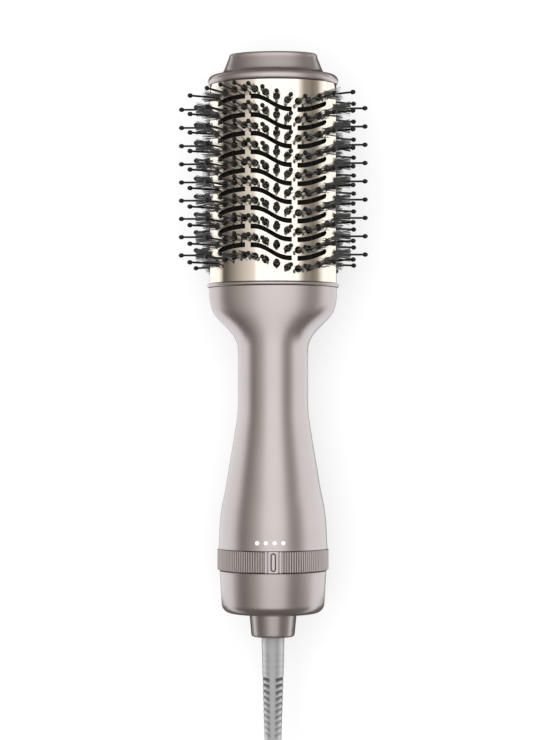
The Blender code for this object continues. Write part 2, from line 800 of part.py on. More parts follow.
def tip_plate(axis):
    """The plate that closes the sleeve's far end, under the cap."""
    inset = SLEEVE_WALL + FIT_GAP
    low = Y_BARREL_TOP - TIP_PLATE_THICKNESS - FIT_GAP
    sides = [barrel_point(PERIMETER * k / FACETS, inset) for k in range(FACETS)]
    rings = [[(p.x, y, p.y) for p in sides] for y in (low, Y_BARREL_TOP - FIT_GAP)]
    add_piece("tip_plate", skin(rings), BLACK_PLASTIC, axis)


def screw_places():
    return [(side * (SEAT_HALF_WIDTH - SCREW_EDGE_LAND), 0) for side in (-1, 1)]


def barrel_seat(axis):
    """The oval plate between barrel and handle. Its rim is the bead that shows."""
    duct_bore = DUCT_RADIUS - DUCT_WALL
    low, high = Y_HANDLE_TOP + FIT_GAP, Y_SEAT_TOP

    def at(inset, y):
        return oval_ring(SEAT_HALF_WIDTH - inset, SEAT_HALF_DEPTH - inset, y, FINE_SIDES)

    rings = [
        at(SEAT_EDGE_ROUND, low),
        at(0, low + SEAT_EDGE_ROUND),
        at(0, high - SEAT_EDGE_ROUND),
        at(SEAT_EDGE_ROUND, high),
        oval_ring(duct_bore, duct_bore, high, FINE_SIDES),
        oval_ring(duct_bore, duct_bore, low, FINE_SIDES),
    ]
    seat = add_piece("barrel_seat", skin(rings, hollow=True), ROSE_TAUPE, axis)
    bore = SCREW_RADIUS + SCREW_CLEARANCE
    holes = []
    for x, z in screw_places():
        profile = turned([(bore, low - OVERRUN), (bore, high + OVERRUN)], SMALL_SIDES)
        holes.append(([(px + x, py, pz + z) for px, py, pz in profile[0]], profile[1]))
    combine(seat, joined(holes), "DIFFERENCE", axis)


def handle_stations():
    """The handle's outline from its foot to its top, as (half width, half depth, y)."""
    stations = []
    grip_length = HANDLE_LENGTH - SHOULDER_LENGTH - NECK_LENGTH
    neck_foot = Y_HANDLE_TOP - SHOULDER_LENGTH - NECK_LENGTH
    for along_share, rise_share in reversed(GRIP_SHARES):
        radius = NECK_RADIUS + (GRIP_END_RADIUS - NECK_RADIUS) * rise_share
        stations.append((radius, radius, neck_foot - grip_length * along_share))
    for along_share, rise_share in reversed(SHOULDER_SHARES):
        width = NECK_RADIUS + (SHOULDER_HALF_WIDTH - NECK_RADIUS) * rise_share
        depth = NECK_RADIUS + (SHOULDER_HALF_DEPTH - NECK_RADIUS) * rise_share
        stations.append((width, depth, Y_HANDLE_TOP - SHOULDER_LENGTH * along_share))
    return stations


def grip_radius(y):
    """The grip's outer radius at a place along the tool, below the shoulder."""
    stations = handle_stations()
    for (low_radius, _, low), (high_radius, _, high) in zip(stations, stations[1:]):
        if low <= y <= high:
            return low_radius + (high_radius - low_radius) * (y - low) / (high - low)
    return stations[0][0]


def handle_shell(name, front, axis):
    """One half of the handle. The two halves meet at the sides, on the tool's middle plane."""
    stations = handle_stations()
    stations[0] = (*stations[0][:2], stations[0][2] + FIT_GAP)
    outer = [oval_ring(width, depth, y, SHELL_SIDES, half=True) for width, depth, y in stations]
    inner = [
        oval_ring(width - SHELL_WALL, depth - SHELL_WALL, y, SHELL_SIDES, half=True)
        for width, depth, y in reversed(stations)
    ]
    points, faces = skin([*outer, *inner], round_ring=False, hollow=True)
    side = 1 if front else -1
    points = [(x, y, side * z) for x, y, z in points]
    shell = add_piece(name, (points, faces), ROSE_TAUPE, axis)
    shell.location.z = side * FIT_GAP / 2
    return shell


def dot_angles():
    return [DIAL_STEP * (dot - (DOTS - 1) / 2) for dot in range(DOTS)]


def handle_shells(axis):
    """Both shells. The front one has a row of round holes for the light guide's prongs."""
    front = handle_shell("handle_front_shell", True, axis)
    handle_shell("handle_back_shell", False, axis)
    holes = []
    for angle in dot_angles():
        way = Vector((math.sin(angle), math.cos(angle)))
        low, high = grip_radius(Y_DOTS) - SHELL_WALL - OVERRUN, grip_radius(Y_DOTS) + OVERRUN
        holes.append(radial_rod(way, DOT_RADIUS, low, high, Y_DOTS))
    combine(front, joined(holes), "DIFFERENCE", axis)


def radial_rod(way, radius, low, high, y, sides=6):
    """A rod that points out from the tool's axis, between two radii."""
    across = Vector((way.y, -way.x))
    rings = []
    for reach in (low, high):
        ring = []
        for step in range(sides):
            angle = math.tau * (step + 0.5) / sides
            place = way * reach + across * radius * math.cos(angle)
            ring.append((place.x, y + radius * math.sin(angle), place.y))
        rings.append(ring)
    return skin(rings)


def light_guide(axis):
    """One clear moulding: a small plate behind the shell and a prong out to each dot."""
    inside = grip_radius(Y_DOTS) - SHELL_WALL
    half = GUIDE_WIDTH / 2
    plate_top = math.sqrt(inside**2 - half**2) - FIT_GAP
    plate_low = plate_top - GUIDE_THICKNESS
    span = (Y_DOTS - GUIDE_LENGTH / 2, Y_DOTS + GUIDE_LENGTH / 2)
    guide = add_piece("light_guide", block((-half, half), span, (plate_low, plate_top)), WHITE_PLASTIC, axis)
    prongs = []
    for angle in dot_angles():
        way = Vector((math.sin(angle), math.cos(angle)))
        low = (plate_low + GUIDE_THICKNESS / 2) / math.cos(angle)
        prongs.append(radial_rod(way, DOT_RADIUS - SCREW_CLEARANCE, low, grip_radius(Y_DOTS), Y_DOTS))
    combine(guide, joined(prongs), "UNION", axis)


DUCT_RADIUS = (NECK_RADIUS - SHELL_WALL) * math.cos(math.pi / SHELL_SIDES / 2) - FIT_GAP
FAN_LOW = Y_DIAL_TOP + SHROUD_BOARD_GAP
SHROUD_TOP = FAN_LOW + SHROUD_LENGTH


def air_duct(axis):
    """The round tube in the neck that leads the air from the fan to the barrel."""
    low = SHROUD_TOP + FIT_GAP
    high = Y_HANDLE_TOP
    solid = tube(DUCT_RADIUS, DUCT_RADIUS - DUCT_WALL, low, high, COARSE_SIDES)
    add_piece("air_duct", solid, BLACK_PLASTIC, axis)


def heater(axis):
    """Crossed mica plates with a wire wound round them, and a thermal cutout beside them."""
    bore = DUCT_RADIUS - DUCT_WALL
    foot = bore * math.cos(math.pi / COARSE_SIDES) - FIT_GAP
    half_width = bore - HEATER_CLEARANCE
    low = Y_HANDLE_TOP - SHOULDER_LENGTH - MICA_LENGTH / 2
    high = low + MICA_LENGTH
    outline = [
        (-foot, low), (foot, low), (foot, low + MICA_FOOT), (half_width, low + MICA_FOOT),
        (half_width, high), (-half_width, high), (-half_width, low + MICA_FOOT),
        (-foot, low + MICA_FOOT),
    ]
    thick = MICA_THICKNESS / 2
    upright = skin([[(x, y, z) for x, y in outline] for z in (-thick, thick)])
    level = skin([[(x, y, z) for z, y in outline] for x in (-thick, thick)])
    frame = add_piece("heater_frame", upright, MICA, axis, smooth=False)
    combine(frame, level, "UNION", axis)

    half_step = math.pi / WIRE_POINTS_A_TURN
    radius = half_width + FIT_GAP + WIRE_RADIUS / math.cos(half_step) + thick * math.tan(half_step)
    wire_low = low + MICA_FOOT + WIRE_END_LAND
    rise = high - wire_low - WIRE_END_LAND
    count = WIRE_TURNS * WIRE_POINTS_A_TURN
    places = []
    for step in range(count + 1):
        angle = math.tau * step / WIRE_POINTS_A_TURN
        places.append((radius * math.sin(angle), wire_low + rise * step / count, radius * math.cos(angle)))
    round_curve("heating_wire", places, WIRE_RADIUS, 0, NICHROME, axis)

    cutout_side = CUTOUT_RADIUS + thick + FIT_GAP
    cutout_low = low + MICA_FOOT
    cutout_high = cutout_low + CUTOUT_LENGTH
    cutout = turned([(CUTOUT_RADIUS, cutout_low), (CUTOUT_RADIUS, cutout_high)], SMALL_SIDES)
    points = [(x + cutout_side, y, z + cutout_side) for x, y, z in cutout[0]]
    add_piece("thermal_cutout", (points, cutout[1]), STEEL, axis)


def round_curve(name, places, radius, resolution, look, on=None):
    """A round tube along points, with closed ends."""
    curve = bpy.data.curves.new(name, "CURVE")
    curve.dimensions = "3D"
    curve.bevel_depth = radius
    curve.bevel_resolution = resolution
    curve.use_fill_caps = True
    curve.twist_mode = "Z_UP"
    spline = curve.splines.new("POLY")
    spline.points.add(len(places) - 1)
    for point, place in zip(spline.points, places):
        point.co = (*place, 1)
    piece = bpy.data.objects.new(name, curve)
    bpy.context.scene.collection.objects.link(piece)
    piece.parent = on
    finish(piece, *look)
    return piece


FAN_HIGH = FAN_LOW + FAN_HUB_LENGTH
MOTOR_LOW = FAN_HIGH + MOTOR_NOSE_LENGTH + OVERRUN


def shroud_radius():
    return (grip_radius(SHROUD_TOP) - SHELL_WALL) * math.cos(math.pi / SHELL_SIDES / 2) - FIT_GAP


def fan_shroud(axis):
    """The ring round the fan. Spokes carry a hub that grips the motor."""
    outer = shroud_radius()
    inner = outer - SHROUD_WALL
    hub = MOTOR_RADIUS + FIT_GAP
    shroud = add_piece("fan_shroud", tube(outer, inner, FAN_LOW, SHROUD_TOP, FINE_SIDES), BLACK_PLASTIC, axis)
    hub_high = SHROUD_TOP - SPOKE_THICKNESS
    hub_low = hub_high - HUB_LENGTH
    parts = []
    for spoke in range(SPOKES):
        angle = math.tau * spoke / SPOKES
        way, half = Vector((math.sin(angle), math.cos(angle))), SPOKE_THICKNESS / 2
        across = Vector((way.y, -way.x)) * half
        near, far = way * (hub + HUB_WALL / 2), way * (inner + SHROUD_WALL / 2)
        rings = [
            [(p.x, y, p.y) for p in (near - across, near + across, far + across, far - across)]
            for y in (hub_low + SPOKE_THICKNESS, hub_high - SPOKE_THICKNESS)
        ]
        parts.append(skin(rings))
    combine(shroud, joined(parts), "UNION", axis)
    combine(shroud, tube(hub + HUB_WALL, hub, hub_low, hub_high, COARSE_SIDES), "UNION", axis)


def motor(axis):
    """The motor can, with a nose round the shaft, and a blind bore for the shaft."""
    low, high = MOTOR_LOW, MOTOR_LOW + MOTOR_LENGTH
    nose = low - MOTOR_NOSE_LENGTH
    profile = [
        (SHAFT_BORE_RADIUS, nose + SHAFT_GRIP),
        (SHAFT_BORE_RADIUS, nose),
        (MOTOR_NOSE_RADIUS, nose),
        (MOTOR_NOSE_RADIUS, low),
        (MOTOR_RADIUS, low),
        (MOTOR_RADIUS, high),
    ]
    add_piece("motor", turned(profile, COARSE_SIDES), STEEL, axis)


def fan(axis):
    """The shaft and the fan on it. Both turn about the tool's axis."""
    nose = MOTOR_LOW - MOTOR_NOSE_LENGTH
    shaft_high = nose + SHAFT_GRIP - FIT_GAP
    shaft_low = shaft_high - SHAFT_LENGTH
    shaft = turned([(SHAFT_RADIUS, shaft_low), (SHAFT_RADIUS, shaft_high)], SMALL_SIDES)
    add_piece("motor_shaft", shaft, STEEL, axis)
    bore = SHAFT_RADIUS + FIT_GAP
    hub = tube(FAN_HUB_RADIUS, bore, FAN_LOW, FAN_HIGH, COARSE_SIDES)
    wheel = add_piece("fan_wheel", hub, BLACK_PLASTIC, axis)
    reach = shroud_radius() - SHROUD_WALL - FAN_TIP_CLEARANCE
    blades = []
    half_rise = FAN_HUB_LENGTH / 2 - BLADE_THICKNESS
    middle = (FAN_LOW + FAN_HIGH) / 2
    for blade in range(FAN_BLADES):
        angle = math.tau * blade / FAN_BLADES
        way = Vector((math.sin(angle), math.cos(angle)))
        across = Vector((way.y, -way.x))
        rings = []
        for distance in (FAN_HUB_RADIUS - BLADE_THICKNESS, reach * math.cos(BLADE_PITCH / 2)):
            ring = []
            for side, up in ((-1, -1), (1, -1), (1, 1), (-1, 1)):
                slide = up * half_rise * math.tan(BLADE_PITCH) + side * BLADE_THICKNESS / 2
                place = way * distance + across * slide
                ring.append((place.x, middle + up * half_rise, place.y))
            rings.append(ring)
        blades.append(skin(rings))
    combine(wheel, joined(blades), "UNION", axis)


def track_radius():
    """The dial track's outer radius, a close fit in the handle's foot and in the base cap."""
    handle_bore = (GRIP_END_RADIUS - SHELL_WALL) * math.cos(math.pi / SHELL_SIDES / 2)
    base_bore = (BASE_TOP_RADIUS - BASE_WALL) * math.cos(math.pi / FINE_SIDES)
    dial_bore = (DIAL_RADIUS - DIAL_WALL) * math.cos(math.pi / DIAL_SIDES)
    return min(handle_bore, base_bore, dial_bore) - FIT_GAP


def dial(axis):
    """The dial ring, which turns on the track, and the wiper inside it that moves the switch."""
    low, high = Y_BASE_TOP + FIT_GAP, Y_DIAL_TOP
    solid = tube(DIAL_RADIUS, DIAL_RADIUS - DIAL_WALL, low, high, DIAL_SIDES)
    ring = add_piece("dial_ring", solid, ROSE_TAUPE, axis)
    half = DIAL_PAD_WIDTH / 2
    flat = math.sqrt(DIAL_RADIUS**2 - half**2)
    pad = block((-half, half), (low - OVERRUN, high + OVERRUN), (flat, flat + OVERRUN))
    points = [turn_about_axis(point, DIAL_REST_ANGLE) for point in pad[0]]
    combine(ring, (points, pad[1]), "DIFFERENCE", axis)
    bore = (DIAL_RADIUS - DIAL_WALL) * math.cos(math.pi / DIAL_SIDES)
    wiper_half = WIPER_WIDTH / 2
    wiper_top = math.sqrt(bore**2 - wiper_half**2) - FIT_GAP
    middle = (low + high) / 2
    span = (middle - WIPER_LENGTH / 2, middle + WIPER_LENGTH / 2)
    wiper_low = track_radius() - TRACK_WALL - SWITCH_CLEARANCE
    wiper = block((-wiper_half, wiper_half), span, (wiper_low, wiper_top))
    add_piece("dial_wiper", wiper, BRASS, axis, smooth=False)


def turn_about_axis(point, angle):
    """Turns a point about Y, from the front towards +X."""
    x, y, z = point
    return (x * math.cos(angle) + z * math.sin(angle), y, z * math.cos(angle) - x * math.sin(angle))


def dial_track(axis):
    """The fixed tube that joins handle and base cap, with a window for the wiper."""
    outer = track_radius()
    inner = outer - TRACK_WALL
    low = Y_BASE_TOP - TRACK_FOOT_REACH
    high = Y_DIAL_TOP + TRACK_REACH
    track = add_piece("dial_track", tube(outer, inner, low, high, FINE_SIDES), BLACK_PLASTIC, axis)
    middle = (Y_DIAL_TOP + Y_BASE_TOP) / 2
    rings = []
    for step in (-1, 0, 1):
        angle = TRACK_WINDOW_ANGLE * step
        way = Vector((math.sin(angle), math.cos(angle)))
        near, far = way * (inner - OVERRUN), way * (outer + OVERRUN)
        half = TRACK_WINDOW_LENGTH / 2
        rings.append([(p.x, y, p.y) for p, y in ((near, middle - half), (near, middle + half),
                                                 (far, middle + half), (far, middle - half))])
    combine(track, skin(rings), "DIFFERENCE", axis)


def control_parts(axis):
    """The round circuit board in the track and the switch on it, under the wiper."""
    bore = (track_radius() - TRACK_WALL) * math.cos(math.pi / FINE_SIDES) - FIT_GAP
    high = Y_DIAL_TOP
    low = high - BOARD_THICKNESS
    board = tube(bore, BOARD_HOLE_RADIUS, low, high, COARSE_SIDES)
    add_piece("circuit_board", board, BOARD_GREEN, axis)
    half = SWITCH_WIDTH / 2
    reach = track_radius() - TRACK_WALL - SWITCH_CLEARANCE * 2
    top = math.sqrt(reach**2 - half**2)
    switch_high = low - FIT_GAP
    solid = block((-half, half), (switch_high - SWITCH_LENGTH, switch_high), (top - SWITCH_HEIGHT, top))
    add_piece("switch_body", solid, BLACK_PLASTIC, axis, smooth=False)


def base_cap(axis):
    """The cup below the dial: a round corner, a floor with radial intake slots and the collar's hole."""
    low, high = Y_COLLAR_TOP, Y_BASE_TOP
    corner = BASE_CORNER_RADIUS
    hole = COLLAR_SPIGOT_RADIUS + FIT_GAP
    rise_share = corner / (high - low)
    side = BASE_FOOT_RADIUS + (BASE_TOP_RADIUS - BASE_FOOT_RADIUS) * rise_share
    bend = corner * (1 - math.sqrt(0.5))
    profile = [
        (hole, low),
        (side - corner, low),
        (side - bend, low + bend),
        (side, low + corner),
        (BASE_TOP_RADIUS, high),
        (BASE_TOP_RADIUS - BASE_WALL, high),
        (side - BASE_WALL, low + corner),
        (side - corner, low + BASE_WALL),
        (hole, low + BASE_WALL),
    ]
    cap = add_piece("base_cap", turned(profile, FINE_SIDES, hollow=True), ROSE_TAUPE, axis)
    slots = []
    half = INTAKE_SLOT_WIDTH / 2
    reach = (COLLAR_TOP_RADIUS + INTAKE_INNER_LAND, BASE_FOOT_RADIUS - INTAKE_OUTER_LAND)
    for slot in range(INTAKE_SLOTS):
        angle = math.tau * (slot + 0.5) / INTAKE_SLOTS
        solid = block((-half, half), (low - OVERRUN, low + BASE_WALL + OVERRUN), reach)
        slots.append(([turn_about_axis(point, angle) for point in solid[0]], solid[1]))
    combine(cap, joined(slots), "DIFFERENCE", axis)


def base_inner_parts(axis):
    """The intake filter on the base cap's floor, and the clip that holds the collar's spigot."""
    floor = Y_COLLAR_TOP + BASE_WALL
    corner = BASE_FOOT_RADIUS - BASE_CORNER_RADIUS
    low, high = floor + FIT_GAP, floor + FIT_GAP + FILTER_THICKNESS
    inner = COLLAR_SPIGOT_RADIUS + FIT_GAP
    add_piece("intake_filter", tube(corner, inner, low, high, COARSE_SIDES), GREY_MESH, axis)
    clip_low = high + FIT_GAP
    inner /= math.cos(math.pi / SMALL_SIDES)
    clip = tube(inner + CLIP_WIDTH, inner, clip_low, clip_low + CLIP_THICKNESS, SMALL_SIDES)
    add_piece("collar_clip", clip, STEEL, axis)


def cord_collar(axis):
    """The stepped collar on the base cap, whose spigot goes through the cap's floor."""
    low = Y_RELIEF_TOP
    high = Y_COLLAR_TOP - FIT_GAP
    spigot_top = Y_COLLAR_TOP + COLLAR_SPIGOT_LENGTH
    relief_hole = RELIEF_TOP_RADIUS + FIT_GAP
    cavity = BUSH_RADIUS + FIT_GAP
    profile = [
        (relief_hole, low),
        (COLLAR_FOOT_RADIUS - COLLAR_EDGE, low),
        (COLLAR_FOOT_RADIUS, low + COLLAR_EDGE),
        (COLLAR_TOP_RADIUS, high),
        (COLLAR_SPIGOT_RADIUS, high),
        (COLLAR_SPIGOT_RADIUS, spigot_top),
        (cavity, spigot_top),
        (cavity, low + COLLAR_FLOOR),
        (relief_hole, low + COLLAR_FLOOR),
    ]
    add_piece("cord_collar", turned(profile, COARSE_SIDES, hollow=True), ROSE_TAUPE, axis)


def strain_relief(axis):
    """The swivel bush and the tapered relief in it. Both turn about the tool's axis."""
    bush_low = Y_RELIEF_TOP + COLLAR_FLOOR + FIT_GAP
    bush_high = bush_low + BUSH_LENGTH
    bore = RELIEF_TOP_RADIUS + FIT_GAP
    bush = tube(BUSH_RADIUS, bore, bush_low, bush_high, COARSE_SIDES)
    add_piece("swivel_bush", bush, BLACK_PLASTIC, axis)
    profile = [(RELIEF_TOP_RADIUS, bush_high), (RELIEF_TOP_RADIUS, Y_RELIEF_TOP)]
    first = Y_RELIEF_TOP - RELIEF_LENGTH * RELIEF_RIB_START_SHARE
    step = (first - Y_RELIEF_END) / (2 * RELIEF_RIBS)

    def taper(y):
        share = (Y_RELIEF_TOP - y) / RELIEF_LENGTH
        return RELIEF_TOP_RADIUS + (RELIEF_END_RADIUS - RELIEF_TOP_RADIUS) * share

    for rib in range(RELIEF_RIBS):
        top = first - 2 * step * rib
        profile.append((taper(top), top))
        profile.append((taper(top - step) - RELIEF_RIB_DEPTH, top - step))
    profile.append((RELIEF_END_RADIUS, Y_RELIEF_END))
    add_piece("strain_relief", turned(profile[::-1], COARSE_SIDES), GREY_RUBBER, axis)


def seat_screws(axis):
    """Two screws through the barrel seat, with their heads on its barrel side."""
    head_low = Y_SEAT_TOP + FIT_GAP
    tip = head_low - SCREW_LENGTH
    for name, (x, z) in zip(("seat_screw_left", "seat_screw_right"), screw_places()):
        profile = [
            (SCREW_RADIUS, tip),
            (SCREW_RADIUS, head_low),
            (SCREW_HEAD_RADIUS, head_low),
            (SCREW_HEAD_RADIUS, head_low + SCREW_HEAD_HEIGHT),
        ]
        screw = add_piece(name, turned(profile, SMALL_SIDES), STEEL, axis)
        screw.location = (x, 0, z)


def straight_ended(start, places, end, leaving, arriving):
    """Points on one smooth curve through places. Its two ends run straight for one cord diameter."""
    chain = [start, start + leaving, *(Vector(place) for place in places), end - arriving, end]
    route = [start]
    for a, b, c, d in zip(chain, chain[1:], chain[2:], chain[3:]):
        pieces = max(1, round((c - b).length / TUBE_STEP))
        for piece in range(pieces):
            t = piece / pieces
            route.append(0.5 * (2 * b + (c - a) * t + (2 * a - 5 * b + 4 * c - d) * t**2
                                + (3 * b - a - 3 * c + d) * t**3))
    route += chain[-2:]
    return route


def ease(share):
    """A smooth rise from 0 to 1."""
    share = min(max(share, 0), 1)
    return share * share * (3 - 2 * share)


def coil_place(turn):
    """A point of the coil's centreline: in along the first layer, and out again on the second."""
    half = COIL_TURNS / 2
    radius = COIL_RADIUS - COIL_PITCH * (half - abs(turn - half))
    angle = -math.tau * turn
    radius_up = CORD_DIAMETER / 2 + FLOOR_CLEARANCE
    sunk = CORD_DIAMETER * COIL_FLAT_SHARE + FLOOR_CLEARANCE
    sinking = ease(turn / COIL_SINK_TURNS) - ease((turn - COIL_TURNS) / COIL_SINK_TURNS + 1)
    climb = ease((turn - half) / COIL_CLIMB_TURNS + 0.5)
    x, y = COIL_CENTRE
    height = radius_up - sunk * sinking + COIL_PITCH * climb
    return Vector((x + radius * math.cos(angle), y + radius * math.sin(angle), height))


def least_gap(places, diameter):
    """The smallest distance between a tube's own turns, less its diameter."""
    skip = COIL_POINTS_A_TURN // 2
    nearest = min(
        (places[i] - places[j]).length
        for i in range(len(places))
        for j in range(i + skip, len(places))
    )
    return nearest - diameter


def cord():
    """The mains cord: a lead from the relief to the coil, the coil, and a short tail to the plug."""
    radius = CORD_DIAMETER / 2
    straight = Vector((0, -CORD_DIAMETER, 0))
    turns = COIL_TURNS * COIL_POINTS_A_TURN
    winding = [coil_place(step / COIL_POINTS_A_TURN) for step in range(turns + 1)]
    winding = [winding[0] - straight, *winding, winding[-1] + straight]
    gap_step = Vector((0, FIT_GAP, 0))

    exit_place = Vector((0, Y_RELIEF_END - FIT_GAP, AXIS_HEIGHT))
    lead_end = winding[0] + gap_step
    lead = straight_ended(exit_place, LEAD_ROUTE, lead_end, straight, straight)
    round_curve("cord_lead", lead, radius, 2, GREY_RUBBER)

    coil = round_curve("cord_coil", winding, radius, 1, GREY_RUBBER)
    bpy.context.view_layer.update()
    mesh = bpy.data.meshes.new_from_object(coil.evaluated_get(bpy.context.evaluated_depsgraph_get()))
    bpy.data.objects.remove(coil, do_unlink=True)
    mesh.materials.clear()
    coil = add_piece("cord_coil", mesh, GREY_RUBBER)
    cut_flat_at_rest(mesh, 0)
    print(f"least gap in the coil: {1000 * least_gap(winding, CORD_DIAMETER):.2f} mm")

    tail_start = winding[-1] - gap_step
    tail_end = Vector((*TAIL_END, PLUG_HALF_THICKNESS))
    sideways = Vector((-CORD_DIAMETER, 0, 0))
    tail = straight_ended(tail_start, TAIL_ROUTE, tail_end, straight, sideways)
    round_curve("cord_tail", tail, radius, 2, GREY_RUBBER)
    lengths = [sum((b - a).length for a, b in zip(run, run[1:])) for run in (lead, winding, tail)]
    print(f"cord length: {sum(lengths):.3f} m")
    return tail_end


def plug(tail_end):
    """A moulded two-blade plug that lies beside the coil, its cord end towards +X."""
    rear = FIT_GAP
    rings = []
    for along_share, swell_share in PLUG_SHARES:
        width = PLUG_NECK_RADIUS + (PLUG_HALF_WIDTH - PLUG_NECK_RADIUS) * swell_share
        depth = PLUG_NECK_RADIUS + (PLUG_HALF_THICKNESS - PLUG_NECK_RADIUS) * swell_share
        rings.append(oval_ring(width, depth, rear + PLUG_LENGTH * along_share, COARSE_SIDES))
    body = add_piece("plug_body", skin(rings), GREY_RUBBER)
    face = rear + PLUG_LENGTH + FIT_GAP
    blades = []
    for name, side in (("plug_blade_left", -1), ("plug_blade_right", 1)):
        middle = side * BLADE_SPACING / 2
        half, half_width = PRONG_THICKNESS / 2, BLADE_WIDTH / 2
        solid = block((middle - half, middle + half), (face, face + BLADE_LENGTH), (-half_width, half_width))
        blades.append(add_piece(name, solid, BRASS, smooth=False))
    for piece in (body, *blades):
        piece.location = tail_end
        piece.rotation_euler.z = math.radians(90)


def main():
    remove_old_objects()
    axis = tool_axis()
    tip_cap(axis)
    tip_plate(axis)
    barrel_sleeve(axis)
    bristle_strips(axis)
    bristle_frame(axis)
    barrel_seat(axis)
    seat_screws(axis)
    handle_shells(axis)
    light_guide(axis)
    air_duct(axis)
    heater(axis)
    fan_shroud(axis)
    motor(axis)
    fan(axis)
    dial(axis)
    dial_track(axis)
    control_parts(axis)
    base_cap(axis)
    base_inner_parts(axis)
    cord_collar(axis)
    strain_relief(axis)
    plug(cord())


main()
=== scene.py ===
import math

import bmesh
import bpy
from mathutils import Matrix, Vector
from mathutils.geometry import delaunay_2d_cdt


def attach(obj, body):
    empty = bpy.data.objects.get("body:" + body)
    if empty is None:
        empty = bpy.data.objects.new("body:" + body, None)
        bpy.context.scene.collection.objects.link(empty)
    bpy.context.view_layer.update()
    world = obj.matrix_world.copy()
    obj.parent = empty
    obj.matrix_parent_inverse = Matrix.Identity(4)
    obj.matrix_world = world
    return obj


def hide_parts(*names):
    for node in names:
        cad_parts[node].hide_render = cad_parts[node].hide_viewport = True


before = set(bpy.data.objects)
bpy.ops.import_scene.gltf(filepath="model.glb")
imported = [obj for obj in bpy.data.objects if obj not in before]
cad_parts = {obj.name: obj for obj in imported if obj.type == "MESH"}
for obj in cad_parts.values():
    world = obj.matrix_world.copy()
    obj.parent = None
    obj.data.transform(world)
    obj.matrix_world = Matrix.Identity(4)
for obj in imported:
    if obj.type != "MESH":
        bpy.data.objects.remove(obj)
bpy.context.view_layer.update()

# The studio: a white sweep under the brush, one big soft lamp above it, and a tent of pale and
# dark cloths round it, which only a shiny surface shows. The camera looks straight down, a
# little from the right and from the dial's side.
CAMERA_PLACE = (0.05668, -0.02337, 1.14526)
CAMERA_TILT = math.radians(2.05)
CAMERA_LEAN = math.radians(2.8)
CAMERA_LENS = 91.2
CAMERA_SENSOR = 36.0
LAMP_PLACE = (-0.15, 0.1, 1.7)
LAMP_SIZE = (1.3, 2.2)
LAMP_ENERGY = 17.0
ROOM_LEVEL = 0.72
FLOOR_SPAN = 3.0
FLOOR_HEIGHT = -0.0003
FLOOR_TONE = (0.36, 0.36, 0.36, 1)
FLOOR_GLOW = 0.655
TENT_RADIUS = 3.2
# Degrees from straight up, towards the right, and how bright the cloth is there
TENT_CLOTHS = (
    (-90, 1.36), (-80, 0.85), (-72, 0.13), (-64, 0.14), (-52, 0.30), (-40, 0.52), (-30, 0.70),
    (-22, 0.86), (-18, 1.36), (27, 1.36), (33, 0.70), (37, 0.36), (51, 0.22), (60, 0.34),
    (69, 0.90), (80, 1.36), (90, 1.36),
)
TENT_BRIGHTEST = 1.36
TENT_DARKEST = 0.10
# Where the tent's tip end and its cord end grow dark, as a share of its radius, and how fast
TIP_END_FADE = (0.56, 1.75)
CORD_END_FADE = (-0.12, 1.6)
DARK_CLOTH_DYE = (1.0, 0.93, 0.88, 1)
PALE_CLOTH_DYE = (0.965, 0.985, 1.03, 1)
DYE_POWER = 2.5
# Dark boards stand across the brush, past the relief and past the tip: name, Y and height
BOARDS = (("dark_board", -0.30, 0.45), ("far_board", 0.42, 0.12))
BOARD_HALF_WIDTH = 1.2
BOARD_DYE = (1.0, 0.86, 0.80)
# A pale card lies on the floor all round the brush
CARD_SPAN = 1.2
CARD_HEIGHT = -0.00012
CARD_LEVEL = 1.22
CARD_DYE = (0.97, 0.99, 1.05)
# A dark mat on the card gives the brush's edges their thin dark outline: its half width and Y
MAT_HEIGHT = 0.00004
MAT_OUTLINE = (
    (0.100, -0.295), (0.100, -0.140), (0.050, -0.122), (0.048, -0.070), (0.038, -0.010),
    (0.036, 0.025), (0.054, 0.050), (0.054, 0.188), (0.115, 0.206), (0.115, 0.350), (0.050, 0.380),
)


def feed(tree, node, inputs):
    """Gives inputs of a node plain values or links from other nodes' outputs."""
    for name, value in inputs.items():
        if isinstance(value, bpy.types.NodeSocket):
            tree.links.new(value, node.inputs[name])
        else:
            node.inputs[name].default_value = value


def add_node(tree, kind, inputs=None, **settings):
    """A shader or geometry node with some of its properties and inputs set."""
    node = tree.nodes.new(kind)
    for name, value in settings.items():
        setattr(node, name, value)
    feed(tree, node, inputs or {})
    return node


def new_material(name, looks=None):
    """A material whose only shader is a Principled one, with some plain values set."""
    material = bpy.data.materials.new(name)
    material.use_nodes = True
    tree = material.node_tree
    shader = tree.nodes["Principled BSDF"]
    feed(tree, shader, looks or {})
    return material, tree, shader


def sums(tree, operation, first, second=0.0, clamp=False):
    """The output of a Math node. Each side is a number or another node's output."""
    return add_node(tree, "ShaderNodeMath", {0: first, 1: second}, operation=operation,
                    use_clamp=clamp).outputs[0]


def new_object(name, data):
    """An object in the scene for a mesh, curve, lamp or camera."""
    thing = bpy.data.objects.new(name, data)
    bpy.context.scene.collection.objects.link(thing)
    return thing


def new_piece(name, places, faces, material, smooth=True):
    """A mesh object from points and faces, already in its place."""
    mesh = bpy.data.meshes.new(name)
    mesh.from_pydata([tuple(place) for place in places], [], faces)
    mesh.materials.append(material)
    mesh.shade_smooth() if smooth else mesh.shade_flat()
    return new_object(name, mesh)


def level_sheet(name, span, height, material):
    """A square sheet that lies level, with its middle under the brush."""
    places = [(x * span, y * span, height) for x, y in ((-1, -1), (1, -1), (1, 1), (-1, 1))]
    return new_piece(name, places, [(0, 1, 2, 3)], material, smooth=False)


def round_turns(count):
    """Evenly spaced angles, once round."""
    return [math.tau * step / count for step in range(count)]


